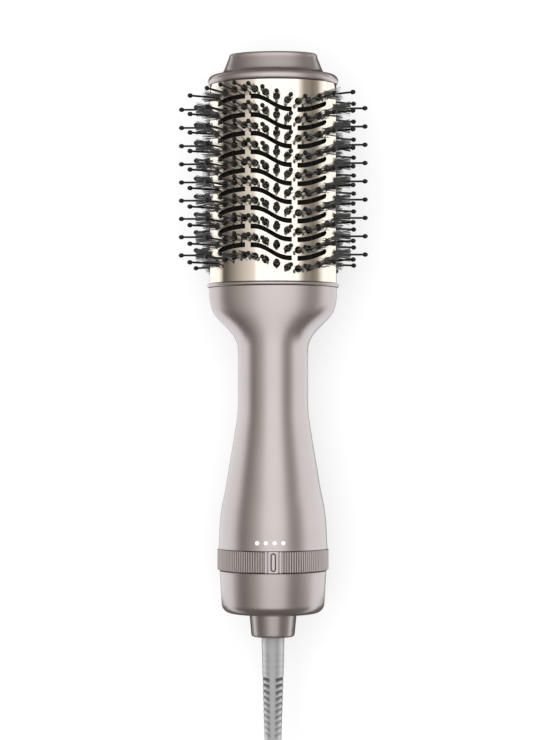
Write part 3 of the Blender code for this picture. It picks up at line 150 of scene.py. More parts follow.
def skin_of(rings, closed=True):
    """Faces that join rings of the same count, with both ends shut where the skin is closed."""
    count = len(rings[0])
    places = [place for ring in rings for place in ring]
    faces = []
    for row in range(len(rings) - 1):
        low, high = row * count, (row + 1) * count
        for side in range(count):
            after = (side + 1) % count
            faces.append((low + side, low + after, high + after, high + side))
    if closed:
        faces.append(tuple(reversed(range(count))))
        faces.append(tuple(range(len(places) - count, len(places))))
    return places, faces


def seen_or_mirrored(tree):
    """1 for a ray from the camera, from a mirror or through glass, and 0 for light itself."""
    rays = add_node(tree, "ShaderNodeLightPath")
    either = sums(tree, "MAXIMUM", rays.outputs["Is Camera Ray"], rays.outputs["Is Glossy Ray"])
    return sums(tree, "MAXIMUM", either, rays.outputs["Is Transmission Ray"])


def white_sweep():
    """The floor, white to the eye, which still takes the brush's shadow."""
    material, tree, shader = new_material("white sweep", {
        "Base Color": FLOOR_TONE, "Roughness": 0.9, "Specular IOR Level": 0.0,
        "Emission Color": (1, 1, 1, 1)})
    glow = sums(tree, "MULTIPLY", seen_or_mirrored(tree), FLOOR_GLOW)
    feed(tree, shader, {"Emission Strength": glow})
    level_sheet("sweep", FLOOR_SPAN, FLOOR_HEIGHT, material)


def glowing(name, dye=(1, 1, 1), level=1.0):
    """A cloth or card of one brightness, which lights nothing."""
    material = new_material(name, {
        "Base Color": (0, 0, 0, 1), "Specular IOR Level": 0.0, "Emission Color": (*dye, 1),
        "Emission Strength": level})[0]
    material.cycles.emission_sampling = "NONE"
    return material


def stripes(tree, across, up):
    """The brightness of the tent's cloths at a place, by its angle from straight up."""
    angle = sums(tree, "ARCTAN2", across, up)
    ramp = add_node(tree, "ShaderNodeFloatCurve", {
        "Value": sums(tree, "ADD", sums(tree, "DIVIDE", angle, math.pi), 0.5)})
    line = ramp.mapping.curves[0].points
    stations = [(0.5 + degrees / 180, level / TENT_BRIGHTEST) for degrees, level in TENT_CLOTHS]
    line[0].location = stations[0]
    line[1].location = stations[-1]
    for station in stations[1:-1]:
        line.new(*station)
    for point in line:
        point.handle_type = "VECTOR"
    ramp.mapping.update()
    return sums(tree, "MULTIPLY", ramp.outputs[0], TENT_BRIGHTEST)


def tent_cloth():
    """Stripes of pale and dark cloth that run along the brush and grow dark at the tent's ends."""
    material = glowing("tent cloth")
    tree = material.node_tree
    place = add_node(tree, "ShaderNodeTexCoord").outputs["Object"]
    split = add_node(tree, "ShaderNodeSeparateXYZ", {0: place})
    endways = sums(tree, "DIVIDE", split.outputs["Y"], TENT_RADIUS)
    tip_place, tip_speed = TIP_END_FADE
    cord_place, cord_speed = CORD_END_FADE
    tip_end = sums(tree, "MULTIPLY", sums(tree, "SUBTRACT", endways, tip_place), tip_speed)
    cord_end = sums(tree, "MULTIPLY", sums(tree, "SUBTRACT", cord_place, endways), cord_speed)
    level = add_node(tree, "ShaderNodeMix", {
        "Factor": sums(tree, "MAXIMUM", tip_end, cord_end, clamp=True),
        "A": stripes(tree, split.outputs["X"], split.outputs["Z"]), "B": TENT_DARKEST},
        data_type="FLOAT").outputs[0]
    dye = add_node(tree, "ShaderNodeMix", {
        "Factor": sums(tree, "POWER", level, DYE_POWER, clamp=True), "A": DARK_CLOTH_DYE,
        "B": PALE_CLOTH_DYE}, data_type="RGBA")
    feed(tree, tree.nodes["Principled BSDF"], {
        "Emission Color": dye.outputs["Result"], "Emission Strength": level})
    return material


def half_dome(radius, rings=12, sides=48):
    """The places and faces of a half dome that stands on the table, shut at its top."""
    rounds = []
    for rise in (math.pi / 2 * ring / rings for ring in range(1, rings + 1)):
        out, height = radius * math.sin(rise), radius * math.cos(rise)
        rounds.append([(out * math.cos(turn), out * math.sin(turn), height) for turn in round_turns(sides)])
    places, faces = skin_of(rounds, closed=False)
    faces += [(len(places), (side + 1) % sides, side) for side in range(sides)]
    return [*places, (0, 0, radius)], faces


def tent():
    """The tent with its boards, card and mat, which nothing but a reflection shows."""
    dark = glowing("dark board", BOARD_DYE, TENT_DARKEST)
    cloths = [new_piece("tent", *half_dome(TENT_RADIUS), tent_cloth())]
    for name, y, height in BOARDS:
        corners = [(x * BOARD_HALF_WIDTH, y, z * height) for x, z in ((-1, 0), (1, 0), (1, 1), (-1, 1))]
        cloths.append(new_piece(name, corners, [(0, 1, 2, 3)], dark, smooth=False))
    card = glowing("pale card", CARD_DYE, CARD_LEVEL)
    cloths.append(level_sheet("pale_cards", CARD_SPAN, CARD_HEIGHT, card))
    edge = [(half, y, MAT_HEIGHT) for half, y in MAT_OUTLINE]
    edge += [(-half, y, MAT_HEIGHT) for half, y in reversed(MAT_OUTLINE)]
    cloths.append(new_piece("dark_mat", edge, [tuple(range(len(edge)))], dark, smooth=False))
    for cloth in cloths:
        cloth.visible_camera = False
        cloth.visible_diffuse = False
        cloth.visible_transmission = False
        cloth.visible_shadow = False


def soft_lamp():
    """A wide soft lamp over the table. Mirrors show the tent in its stead."""
    lamp = bpy.data.lights.new("soft lamp", "AREA")
    lamp.shape = "RECTANGLE"
    lamp.size, lamp.size_y = LAMP_SIZE
    lamp.energy = LAMP_ENERGY
    holder = new_object("soft lamp", lamp)
    holder.location = LAMP_PLACE
    holder.visible_camera = False
    holder.visible_glossy = False


def room_light():
    """Even white light from all round."""
    world = bpy.data.worlds.new("room")
    world.use_nodes = True
    tree = world.node_tree
    extra = sums(tree, "MULTIPLY", seen_or_mirrored(tree), 1 - ROOM_LEVEL)
    feed(tree, tree.nodes["Background"], {
        "Color": (1, 1, 1, 1), "Strength": sums(tree, "ADD", extra, ROOM_LEVEL)})
    world.cycles.sampling_method = "NONE"
    bpy.context.scene.world = world


def camera():
    """The camera at the photograph's place and angle."""
    lens = bpy.data.cameras.new("camera")
    lens.lens = CAMERA_LENS
    lens.sensor_width = CAMERA_SENSOR
    lens.clip_start = 0.01
    holder = new_object("camera", lens)
    holder.location = CAMERA_PLACE
    holder.rotation_euler = (CAMERA_TILT, CAMERA_LEAN, 0)
    bpy.context.scene.camera = holder


white_sweep()
tent()
soft_lamp()
room_light()
camera()
bpy.context.scene.view_settings.view_transform = "Standard"

# The mains cord: a round two-core lead in a soft matt grey rubber jacket, wound up behind the
# brush as it is kept in a drawer: three turns inwards on the table, three turns outwards on top
# of them, and a short tail to a moulded plug.
AXIS_HEIGHT = 0.040253
FIT_GAP = 0.0003
CORD_DIAMETER = 0.0070
CORD_EXIT = (0.0, -0.2026, AXIS_HEIGHT)
COIL_CENTRE = (0.0, -0.350)
COIL_RADIUS = 0.0520
COIL_TURNS = 6
COIL_PITCH = 0.0077
COIL_POINTS_A_TURN = 36
COIL_LAYER_CLIMB = 0.5
CORD_REST_HEIGHT = 0.0036
LEAD_ROUTE = (
    (0.0003, -0.2220, 0.0396), (0.0018, -0.2360, 0.0372), (0.0060, -0.2510, 0.0322),
    (0.0145, -0.2690, 0.0240), (0.0255, -0.2870, 0.0150), (0.0370, -0.3050, 0.0078),
    (0.0475, -0.3220, 0.0042),
)
TAIL_ROUTE = (
    (0.0505, -0.3725, 0.0111), (0.0461, -0.3867, 0.0107), (0.0391, -0.3988, 0.0102),
    (0.0300, -0.4081, 0.0096), (0.0194, -0.4140, 0.0092),
)
TAIL_END = (0.0080, -0.4160, 0.0090)
PLUG_LENGTH = 0.0340
PLUG_NECK_RADIUS = 0.0050
PLUG_HALF_WIDTH = 0.0120
PLUG_HALF_THICKNESS = 0.0090
BLADE_SPACING = 0.0127
BLADE_HALF_WIDTH = 0.00315
BLADE_HALF_THICKNESS = 0.00075
BLADE_LENGTH = 0.0170
# Half of a blade's outline, as shares of its length and half width, and where its hole is
BLADE_OUTLINE = ((0, 1), (0.90, 1), (1, 0.62))
BLADE_HOLE_SHARE = 0.76
BLADE_HOLE_RADIUS = 0.0016
# The grip's sides are cut flat at this share of its thickness, and its corners grow fuller
PLUG_FLATTEST = 0.97
PLUG_SQUARENESS = 1.6
# Distance from the cord, and how far the neck has swollen there to the grip's full size
PLUG_PROFILE = (
    (0.0, 0.0), (0.0020, 0.0), (0.0024, 0.10), (0.0036, 0.10), (0.0040, 0.0), (0.0056, 0.0),
    (0.0060, 0.10), (0.0072, 0.10), (0.0076, 0.0), (0.0100, 0.02), (0.0130, 0.28), (0.0170, 0.66),
    (0.0205, 0.90), (0.0240, 1.0), (0.0300, 1.0), (0.0325, 0.99), (0.0336, 0.95), (0.0340, 0.88),
)


def object_pattern(tree, kind, scale, stretch=(1, 1, 1), **settings):
    """A texture node that reads the piece's own place through a Mapping node."""
    place = add_node(tree, "ShaderNodeTexCoord").outputs["Object"]
    mapping = add_node(tree, "ShaderNodeMapping", {"Vector": place, "Scale": stretch})
    return add_node(tree, kind, {"Vector": mapping.outputs[0], "Scale": scale}, **settings)


def noise_at(tree, scale, stretch=(1, 1, 1), detail=2.0):
    """The amount of a noise pattern at each place."""
    noise = object_pattern(tree, "ShaderNodeTexNoise", scale, stretch)
    noise.inputs["Detail"].default_value = detail
    return noise.outputs[0]


def spread(tree, amount, low, high):
    """An amount from 0 to 1, brought to the range from low to high."""
    return add_node(tree, "ShaderNodeMapRange",
                    {"Value": amount, "To Min": low, "To Max": high}).outputs[0]


def two_tones(tree, amount, low, high):
    """A colour between two tones, by an amount from 0 to 1."""
    return add_node(tree, "ShaderNodeMix", {"Factor": amount, "A": (*low, 1), "B": (*high, 1)},
                    data_type="RGBA").outputs["Result"]


def bumps(tree, height, strength, distance):
    """The way out of a surface that a texture's height bumps, in metres."""
    return add_node(tree, "ShaderNodeBump", {
        "Strength": strength, "Distance": distance, "Height": height}).outputs[0]


def plain_finish(name, dark, pale, grain, rough, metallic):
    """A finish whose tone, gloss and skin vary a little with a fine noise."""
    material, tree, shader = new_material(name, {"Metallic": metallic})
    fine = noise_at(tree, grain, detail=3.0)
    feed(tree, shader, {
        "Base Color": two_tones(tree, noise_at(tree, grain / 14), dark, pale),
        "Roughness": spread(tree, fine, *rough), "Normal": bumps(tree, fine, 0.15, 0.00005)})
    return material


def fine_route(places, step=0.0016):
    """Points close together on the smooth curve through places."""
    places = [Vector(place) for place in places]
    chain = [2 * places[0] - places[1], *places, 2 * places[-1] - places[-2]]
    route = []
    for a, b, c, d in zip(chain, chain[1:], chain[2:], chain[3:]):
        pieces = max(1, round((c - b).length / step))
        for piece in range(pieces):
            t = piece / pieces
            route.append(0.5 * (2 * b + (c - a) * t + (2 * a - 5 * b + 4 * c - d) * t**2
                                + (3 * b - a - 3 * c + d) * t**3))
    route.append(places[-1])
    return route


def ease(value, start=0.0, span=1.0):
    """A smooth rise from 0 to 1 as a value goes over a span from a start."""
    share = min(max((value - start) / span, 0), 1)
    return share * share * (3 - 2 * share)


def coil_place(turn):
    """A point of the coil: in along the first layer, and out again on the second."""
    half = COIL_TURNS / 2
    radius = COIL_RADIUS - COIL_PITCH * (half - abs(turn - half))
    angle = -math.tau * turn
    height = CORD_REST_HEIGHT + COIL_PITCH * ease(turn, half - COIL_LAYER_CLIMB / 2, COIL_LAYER_CLIMB)
    x, y = COIL_CENTRE
    return Vector((x + radius * math.cos(angle), y + radius * math.sin(angle), height))


def cord_route():
    """The cord's middle line, from the strain relief to the plug."""
    straight = Vector((0, -CORD_DIAMETER, 0))
    start = Vector(CORD_EXIT)
    turns = COIL_TURNS * COIL_POINTS_A_TURN
    winding = [coil_place(step / COIL_POINTS_A_TURN) for step in range(turns + 1)]
    winding = [winding[0] - straight, *winding, winding[-1] + straight]
    end = Vector(TAIL_END)
    tail = [*TAIL_ROUTE, end + Vector((CORD_DIAMETER, 0, 0)), end]
    return fine_route([start, start + straight, *LEAD_ROUTE, *winding, *tail])


def cord_rubber():
    """Soft rubber: matt, faintly mottled, with the fine drag lines of the jacket's moulding."""
    material, tree, shader = new_material("cord rubber")
    fine = noise_at(tree, 2600.0)
    mottle = two_tones(tree, noise_at(tree, 420.0), (0.135, 0.130, 0.126), (0.185, 0.178, 0.172))
    feed(tree, shader, {
        "Base Color": mottle, "Roughness": spread(tree, fine, 0.48, 0.66),
        "Normal": bumps(tree, fine, 0.25, 0.00004)})
    return material


def superellipse(half_width, half_depth, turn, fullness):
    """A point on a rounded box outline."""
    c, s = math.cos(turn), math.sin(turn)
    power = 2 / fullness
    return (half_width * math.copysign(abs(c) ** power, c), half_depth * math.copysign(abs(s) ** power, s))


def outward(piece, sharp=35.0):
    """Merges doubles, turns every face outwards and marks the edges sharper than an angle."""
    work = bmesh.new()
    work.from_mesh(piece.data)
    bmesh.ops.remove_doubles(work, verts=work.verts, dist=0.0000005)
    bmesh.ops.recalc_face_normals(work, faces=work.faces)
    work.to_mesh(piece.data)
    work.free()
    piece.data.set_sharp_from_angle(angle=math.radians(sharp))


def plug_shell(material):
    """The plug's moulded body: a ribbed neck that swells to a flat rounded grip."""
    rings = []
    for along, swell in PLUG_PROFILE:
        half_width = PLUG_NECK_RADIUS + (PLUG_HALF_WIDTH - PLUG_NECK_RADIUS) * swell
        flat = min(swell, PLUG_FLATTEST)
        half_depth = PLUG_NECK_RADIUS + (PLUG_HALF_THICKNESS - PLUG_NECK_RADIUS) * flat
        fullness = 2.0 + PLUG_SQUARENESS * ease(swell)
        section = [superellipse(half_width, half_depth, turn, fullness) for turn in round_turns(40)]
        rings.append([Vector(TAIL_END) + Vector((-FIT_GAP - along, across, up)) for across, up in section])
    piece = new_piece("plug_shell", *skin_of(rings), material)
    outward(piece, 50.0)
    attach(piece, "handle")
    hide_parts("plug_body")
    return piece


def loop(count):
    """The edges of a closed outline of so many points."""
    return [(corner, (corner + 1) % count) for corner in range(count)]


def punched(places, edges, openings, near=0.0000001):
    """The points and triangles of a flat sheet with openings cut through it."""
    outlines = []
    for opening in openings:
        outlines.append(tuple(range(len(places), len(places) + len(opening))))
        places = places + opening
    points, _, triangles, _, _, inside = delaunay_2d_cdt(
        [Vector(place) for place in places], edges, outlines, 0, near)
    return points, [tuple(triangle) for triangle, opening in zip(triangles, inside) if not opening]


def plug_prongs(material):
    """Two flat brass blades with rounded ends and a hole through each."""
    face = TAIL_END[0] - 2 * FIT_GAP - PLUG_LENGTH
    outline = [(face - x * BLADE_LENGTH, -y * BLADE_HALF_WIDTH) for x, y in BLADE_OUTLINE]
    outline += [(x, -y) for x, y in reversed(outline)]
    middle = face - BLADE_HOLE_SHARE * BLADE_LENGTH
    hole = [(middle + BLADE_HOLE_RADIUS * math.cos(turn), BLADE_HOLE_RADIUS * math.sin(turn))
            for turn in round_turns(16)]
    points, triangles = punched(outline, loop(len(outline)), [hole])
    prongs = []
    for name, node, side in (("prong_left", "plug_blade_left", -1), ("prong_right", "plug_blade_right", 1)):
        y = TAIL_END[1] + side * BLADE_SPACING / 2
        places = [(point.x, y - BLADE_HALF_THICKNESS, TAIL_END[2] + point.y) for point in points]
        piece = new_piece(name, places, triangles, material, smooth=False)
        work = bmesh.new()
        work.from_mesh(piece.data)
        pushed = bmesh.ops.extrude_face_region(work, geom=work.faces[:])["geom"]
        moved = [item for item in pushed if isinstance(item, bmesh.types.BMVert)]
        bmesh.ops.translate(work, verts=moved, vec=(0, 2 * BLADE_HALF_THICKNESS, 0))
        bmesh.ops.recalc_face_normals(work, faces=work.faces)
        work.to_mesh(piece.data)
        work.free()
        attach(piece, "handle")
        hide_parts(node)
        prongs.append(piece)
    return prongs


def mains_cord():
    """The jacket as one round tube along its route, and the plug that belongs to it."""
    route = cord_route()
    line = bpy.data.curves.new("mains_cord", "CURVE")
    line.dimensions = "3D"
    line.bevel_depth = CORD_DIAMETER / 2
    line.bevel_resolution = 5
    line.use_fill_caps = True
    spline = line.splines.new("POLY")
    spline.points.add(len(route) - 1)
    for point, place in zip(spline.points, route):
        point.co = (*place, 1)
    spline.use_smooth = True
    line.materials.append(cord_rubber())
    piece = new_object("mains_cord", line)
    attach(piece, "handle")
    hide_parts("cord_lead", "cord_coil", "cord_tail")
    shell = plug_shell(cord_rubber())
    brass = plain_finish("plug brass", (0.62, 0.45, 0.20), (0.72, 0.54, 0.27), 1200.0, (0.22, 0.34), 1.0)
    plug_prongs(brass)


mains_cord()

# Tip cap: one moulding in rose-taupe paint, a rounded oval flange that laps the sleeve's end and
# a low flat-topped dome that stays cool enough to hold. It clips over the tip plate.
Y_TIP = 0.2039
Y_FLANGE_TOP = 0.1911
Y_BARREL_TOP = 0.1854
FLANGE_HALF_WIDTH = 0.0387
FLANGE_HALF_DEPTH = 0.0236
FLANGE_TOP_ROUND = 0.0036
FLANGE_FOOT_ROUND = 0.0022
CAP_FOOT_INSET = 0.0082
CAP_SIDE_INSET = 0.0124
CAP_TOP_INSET = 0.0139
CAP_FILLET = 0.0032
CAP_WALL = 0.0020
CAP_EDGE_RADIUS = 0.0022
# The dome's foot flares out over the fillet. Points up the fillet and up the side, as shares
FILLET_START = 0.6
FILLET_RISE = 0.00003
FILLET_FLARE = 0.5
FILLET_POINTS = (0.03, 0.12, 0.25, 0.4, 0.55, 0.7, 0.85, 1.0)
SIDE_POINTS = (0.45, 0.65, 0.85)
# How near to the flange's top a point counts as on it
LEVEL_MARGIN = 0.00001
# How far up the cap the painted shade in its foot's crease is full and where it ends, and its share below, on
# the flange
CREASE_SHADE_FULL = 0.0004
CREASE_SHADE_END = 0.0024
CREASE_SHADE_ON_FLANGE = 0.2
ROSE_DARK = (0.532, 0.474, 0.446)
ROSE_PALE = (0.582, 0.519, 0.489)
# The tone of painted shade, in the cap's foot crease and in the dial pad's engraved groove
PAINTED_SHADE_DARK = (0.100, 0.080, 0.074)


def rose_paint(name, dark=ROSE_DARK, pale=ROSE_PALE):
    """Satin paint over a fine metal flake, with a clear coat that softens every highlight."""
    material, tree, shader = new_material(name, {
        "Metallic": 0.92, "Coat Weight": 0.10, "Coat Roughness": 0.25})
    flake = object_pattern(tree, "ShaderNodeTexVoronoi", 3800.0).outputs["Distance"]
    feed(tree, shader, {
        "Base Color": two_tones(tree, noise_at(tree, 35.0), dark, pale),
        "Roughness": spread(tree, noise_at(tree, 2400.0), 0.29, 0.38),
        "Normal": bumps(tree, flake, 0.10, 0.00003)})
    return material


def paint_shade_or_sheen_by(material, title, dye):
    """Paints light or shade into a material's colour: blends it into a given tone by an attribute of the
    piece's points.
    """
    tree = material.node_tree
    shader = tree.nodes["Principled BSDF"]
    amount = add_node(tree, "ShaderNodeAttribute", attribute_name=title).outputs["Fac"]
    colour = shader.inputs["Base Color"].links[0].from_socket
    blend = add_node(tree, "ShaderNodeMix", {"Factor": amount, "A": colour, "B": (*dye, 1)},
                     data_type="RGBA")
    feed(tree, shader, {"Base Color": blend.outputs["Result"]})


def oval(half_width, half_depth, y, sides=96):
    """A ring of points on an oval round the brush's axis."""
    return [(half_width * math.cos(turn), y, AXIS_HEIGHT + half_depth * math.sin(turn))
            for turn in round_turns(sides)]


def quarter(steps):
    """A quarter round as shares of its radius, inward and up, from its start to its end."""
    angles = [math.pi / 2 * step / steps for step in range(steps + 1)]
    return [(1 - math.cos(angle), math.sin(angle)) for angle in angles]


def cap_profile():
    """The cap's outside from its foot to the flat of its top, as (inset, y)."""
    profile = [(FLANGE_FOOT_ROUND / 2 * inward, Y_BARREL_TOP + FLANGE_FOOT_ROUND * (1 - up))
               for inward, up in reversed(quarter(6))]
    shoulder = Y_FLANGE_TOP - FLANGE_TOP_ROUND
    profile += [(FLANGE_TOP_ROUND * inward, shoulder + FLANGE_TOP_ROUND * up) for inward, up in quarter(9)]
    top = Y_TIP - CAP_EDGE_RADIUS
    slope = (CAP_SIDE_INSET - CAP_FOOT_INSET) / (top - Y_FLANGE_TOP)
    profile.append((CAP_FOOT_INSET - FILLET_START * CAP_FILLET, Y_FLANGE_TOP + FILLET_RISE))
    rises = [(CAP_FILLET * share, FILLET_FLARE * CAP_FILLET * (1 - share) ** 2) for share in FILLET_POINTS]
    rises += [((top - Y_FLANGE_TOP) * share, 0) for share in SIDE_POINTS]
    profile += [(CAP_FOOT_INSET + slope * rise - flare, Y_FLANGE_TOP + rise) for rise, flare in rises]
    edge = CAP_TOP_INSET - CAP_SIDE_INSET
    profile += [(CAP_SIDE_INSET + edge * inward, top + CAP_EDGE_RADIUS * up) for inward, up in quarter(8)]
    return profile


def crease_shade_share(y):
    """How deep in the foot's crease a place is, from 0 to 1, which is how much painted shade it gets."""
    rise = y - Y_FLANGE_TOP
    if rise < LEVEL_MARGIN:
        return CREASE_SHADE_ON_FLANGE if rise > -LEVEL_MARGIN else 0.0
    return min(max((CREASE_SHADE_END - rise) / (CREASE_SHADE_END - CREASE_SHADE_FULL), 0), 1)


def tip_cap():
    """The cap as one closed skin, open towards the barrel, its paint darkened by painted shade in the foot's
    crease.
    """
    inside = [(CAP_FOOT_INSET + CAP_WALL, Y_BARREL_TOP),
              (CAP_SIDE_INSET + CAP_WALL, Y_TIP - CAP_EDGE_RADIUS - CAP_WALL)]
    rings = [oval(FLANGE_HALF_WIDTH - inset, FLANGE_HALF_DEPTH - inset, y)
             for inset, y in (*reversed(inside), *cap_profile())]
    paint = rose_paint("cap paint")
    # Painted shade: the paint darkens in the foot's crease, by the crease attribute set below
    paint_shade_or_sheen_by(paint, "crease", PAINTED_SHADE_DARK)
    piece = new_piece("cap_moulding", *skin_of(rings), paint)
    outward(piece, 40.0)
    crease_shade = piece.data.attributes.new("crease", "FLOAT", "POINT")
    crease_shade.data.foreach_set("value", [crease_shade_share(vertex.co.y) for vertex in piece.data.vertices])
    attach(piece, "handle")
    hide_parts("tip_cap")


tip_cap()

# Barrel seat: the thin oval bead between barrel and handle. It is the rim of a painted plate that
# two screws hold to the handle, with the air duct's round hole through its middle.
SEAT_LOW = 0.0649
SEAT_HIGH = 0.0671
SEAT_HALF_WIDTH = 0.0390
SEAT_HALF_DEPTH = 0.0236
SEAT_HOLE_RADIUS = 0.0165
SEAT_ROUND = 0.0010


def barrel_seat():
    """The plate as a closed ring with a round rim."""
    rim = [(SEAT_ROUND * inward, SEAT_HIGH - SEAT_ROUND * (1 - up)) for inward, up in quarter(6)]
    foot = [(inset, SEAT_LOW + SEAT_HIGH - y) for inset, y in reversed(rim)]
    rings = [oval(SEAT_HALF_WIDTH - inset, SEAT_HALF_DEPTH - inset, y) for inset, y in (*foot, *rim)]
    rings += [oval(SEAT_HOLE_RADIUS, SEAT_HOLE_RADIUS, y) for y in (SEAT_HIGH, SEAT_LOW)]
    places, faces = skin_of([*rings, rings[0]], closed=False)
    piece = new_piece("seat_bead", places, faces, rose_paint("seat paint"))
    outward(piece, 40.0)
    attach(piece, "handle")
    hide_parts("barrel_seat")


barrel_seat()

# Handle: a front and a back shell of painted plastic, 2 mm thick, that meet along the sides. They
# swell from a round neck up to the oval seat and down to the round grip. The front shell has four
# small holes over the dial, through which the ends of one clear moulding shine.
SHELL_WALL = 0.0020
SHELL_SIDES = 56
# Half width, half depth and Y of the handle's outline, from its foot to its top
HANDLE_STATIONS = (
    (0.03210, 0.03210, -0.0886), (0.03175, 0.03175, -0.0830), (0.03153, 0.03153, -0.0768),
    (0.03090, 0.03090, -0.0698), (0.03005, 0.03005, -0.0632), (0.02828, 0.02828, -0.0550),
    (0.02600, 0.02600, -0.0413), (0.02360, 0.02360, -0.0271), (0.02150, 0.02150, -0.0139),
    (0.02095, 0.02095, -0.0090), (0.02070, 0.02070, -0.0040), (0.02070, 0.02070, 0.0080),
    (0.02070, 0.02070, 0.0200), (0.02070, 0.02070, 0.0282), (0.02090, 0.02076, 0.0310),
    (0.02180, 0.02088, 0.0335), (0.02355, 0.02108, 0.0368), (0.02650, 0.02142, 0.0403),
    (0.03020, 0.02176, 0.0440), (0.03360, 0.02210, 0.0475), (0.03575, 0.02236, 0.0508),
    (0.03700, 0.02258, 0.0545), (0.03765, 0.02278, 0.0590), (0.03780, 0.02290, 0.0646),
)
HANDLE_RINGS = fine_route(HANDLE_STATIONS, 0.0022)
Y_DOTS = -0.0841
DOT_ANGLES = tuple(math.radians(degrees) for degrees in (-13.8, -4.6, 4.6, 13.8))
DOT_RADIUS = 0.00126
DOT_HOLE_RADIUS = 0.00138
DOT_DOME = 0.00018
DOT_SIDES = 28
# How far the holes and the lenses reach from the grip's skin, inward and outward
DOT_HOLE_REACH = (-0.0040, 0.0020)
DOT_LENS_REACH = (-0.0035, -0.0001)
DOT_PLATE_HALF_WIDTH = 0.0080
DOT_PLATE_HALF_LENGTH = 0.0020
DOT_PLATE_REACH = (0.0268, 0.0280)


def shell_half(name, side, material):
    """One shell, front (1) or back (-1): half an oval at each ring, outside and in, shut at both ends."""
    turns = [math.pi * step / SHELL_SIDES for step in range(SHELL_SIDES + 1)]
    rings = []
    for width, depth, y in HANDLE_RINGS:
        outer, inner = [
            [((width - wall) * math.cos(turn), y,
              AXIS_HEIGHT + side * (FIT_GAP / 2 + (depth - wall) * math.sin(turn))) for turn in turns]
            for wall in (0, SHELL_WALL)]
        rings.append(outer + inner[::-1])
    places, faces = skin_of(rings, closed=False)
    count = len(rings[0])
    for base in (0, len(places) - count):
        faces += [(base + step, base + step + 1, base + count - 2 - step, base + count - 1 - step)
                  for step in range(SHELL_SIDES)]
    piece = new_piece(name, places, faces, material)
    outward(piece, 45.0)
    return piece


def grip_radius_at(y):
    """The grip's outer radius at a place along it."""
    return next(a.x + (b.x - a.x) * (y - a.z) / (b.z - a.z)
                for a, b in zip(HANDLE_RINGS, HANDLE_RINGS[1:]) if a.z <= y <= b.z)


def about_axis(place, angle):
    """Turns a point about the brush's axis, from the front towards the right."""
    x, y, z = place[0], place[1], place[2] - AXIS_HEIGHT
    c, s = math.cos(angle), math.sin(angle)
    return (x * c + z * s, y, AXIS_HEIGHT - x * s + z * c)


def dot_rods(radius, inner, outer, dome=0.0):
    """A rod through the shell at each dot, between two depths off its skin, with a domed outer end."""
    skin = grip_radius_at(Y_DOTS)
    stations = [(radius, skin + inner), (radius, skin + outer)]
    if dome:
        stations += [(radius * math.cos(rise), skin + outer + dome * math.sin(rise))
                     for rise in map(math.radians, (25, 50, 75))]
    rods = []
    for angle in DOT_ANGLES:
        rods.append(skin_of([
            [about_axis((size * math.cos(turn), Y_DOTS + size * math.sin(turn), AXIS_HEIGHT + reach), angle)
             for turn in round_turns(DOT_SIDES)] for size, reach in stations]))
    return rods


def joined(shapes):
    """Several shapes of places and faces as one."""
    places, faces = [], []
    for more_places, more_faces in shapes:
        faces += [tuple(index + len(places) for index in face) for face in more_faces]
        places += more_places
    return places, faces


def settle(piece):
    """Makes what a piece's modifiers show its own plain mesh."""
    bpy.context.view_layer.update()
    result = bpy.data.meshes.new_from_object(piece.evaluated_get(bpy.context.evaluated_depsgraph_get()))
    piece.modifiers.clear()
    piece.data = result


def cut_out(piece, shapes, sharp):
    """Cuts closed shapes out of a piece, and marks its edges sharper than an angle once more."""
    cutter = new_piece("cutter", *joined(shapes), piece.data.materials[0])
    outward(cutter)
    cut = piece.modifiers.new("cut", "BOOLEAN")
    cut.object = cutter
    cut.solver = "EXACT"
    settle(piece)
    piece.data.set_sharp_from_angle(angle=math.radians(sharp))
    bpy.data.objects.remove(cutter, do_unlink=True)


def handle_shells():
    """Both shells, with the four holes cut through the front one."""
    paint = rose_paint("handle paint")
    front = shell_half("handle_front", 1, paint)
    back = shell_half("handle_back", -1, paint)
    cut_out(front, dot_rods(DOT_HOLE_RADIUS, *DOT_HOLE_REACH), 45.0)
    for piece, node in ((front, "handle_front_shell"), (back, "handle_back_shell")):
        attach(piece, "handle")
        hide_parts(node)


def light_dots():
    """The guide's four milky ends, flush in the front shell, on one small plate behind it."""
    material, tree, shader = new_material("milky lens", {
        "Emission Color": (1, 1, 1, 1), "Emission Strength": 0.18})
    milk = noise_at(tree, 1500.0)
    feed(tree, shader, {
        "Base Color": two_tones(tree, milk, (0.90, 0.90, 0.89), (0.97, 0.97, 0.96)),
        "Roughness": spread(tree, milk, 0.22, 0.32)})
    plate = [[(x * DOT_PLATE_HALF_WIDTH, Y_DOTS + y * DOT_PLATE_HALF_LENGTH, AXIS_HEIGHT + reach)
              for x, y in ((-1, -1), (1, -1), (1, 1), (-1, 1))] for reach in DOT_PLATE_REACH]
    lenses = dot_rods(DOT_RADIUS, *DOT_LENS_REACH, DOT_DOME)
    piece = new_piece("light_lenses", *joined([*lenses, skin_of(plate)]), material)
    piece.data.set_sharp_from_angle(angle=math.radians(40))
    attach(piece, "handle")
    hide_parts("light_guide")


handle_shells()
light_dots()

# Dial: a ribbed painted ring that turns by hand round the foot of the handle and sets heat and
# speed. Its one smooth pad has an engraved mark that points at the dots.
DIAL_RADIUS = 0.03285
DIAL_WALL = 0.0030
DIAL_LOW = -0.1013
DIAL_HIGH = -0.08875
DIAL_RIBS = 134
DIAL_RIB_RADIUS = 0.00046
DIAL_RIB_SINK = 0.00050
DIAL_EDGE = 0.0005
RIB_INSET = 0.00003
# The paint on the ring between the ribs, darkened as painted shade for the shade both of them cast, as shares
# of the paint's dark and pale
VALLEY_PAINTED_SHADE = (0.50, 0.56)
DIAL_PAD_WIDTH = 0.0055
PAD_GROOVE = 0.0009
PAD_STRIP_WIDTH = 0.0011
PAD_END_GAP = 0.0002
PAD_THICKNESS = 0.0014
PAD_STRIP_SINK = 0.00004
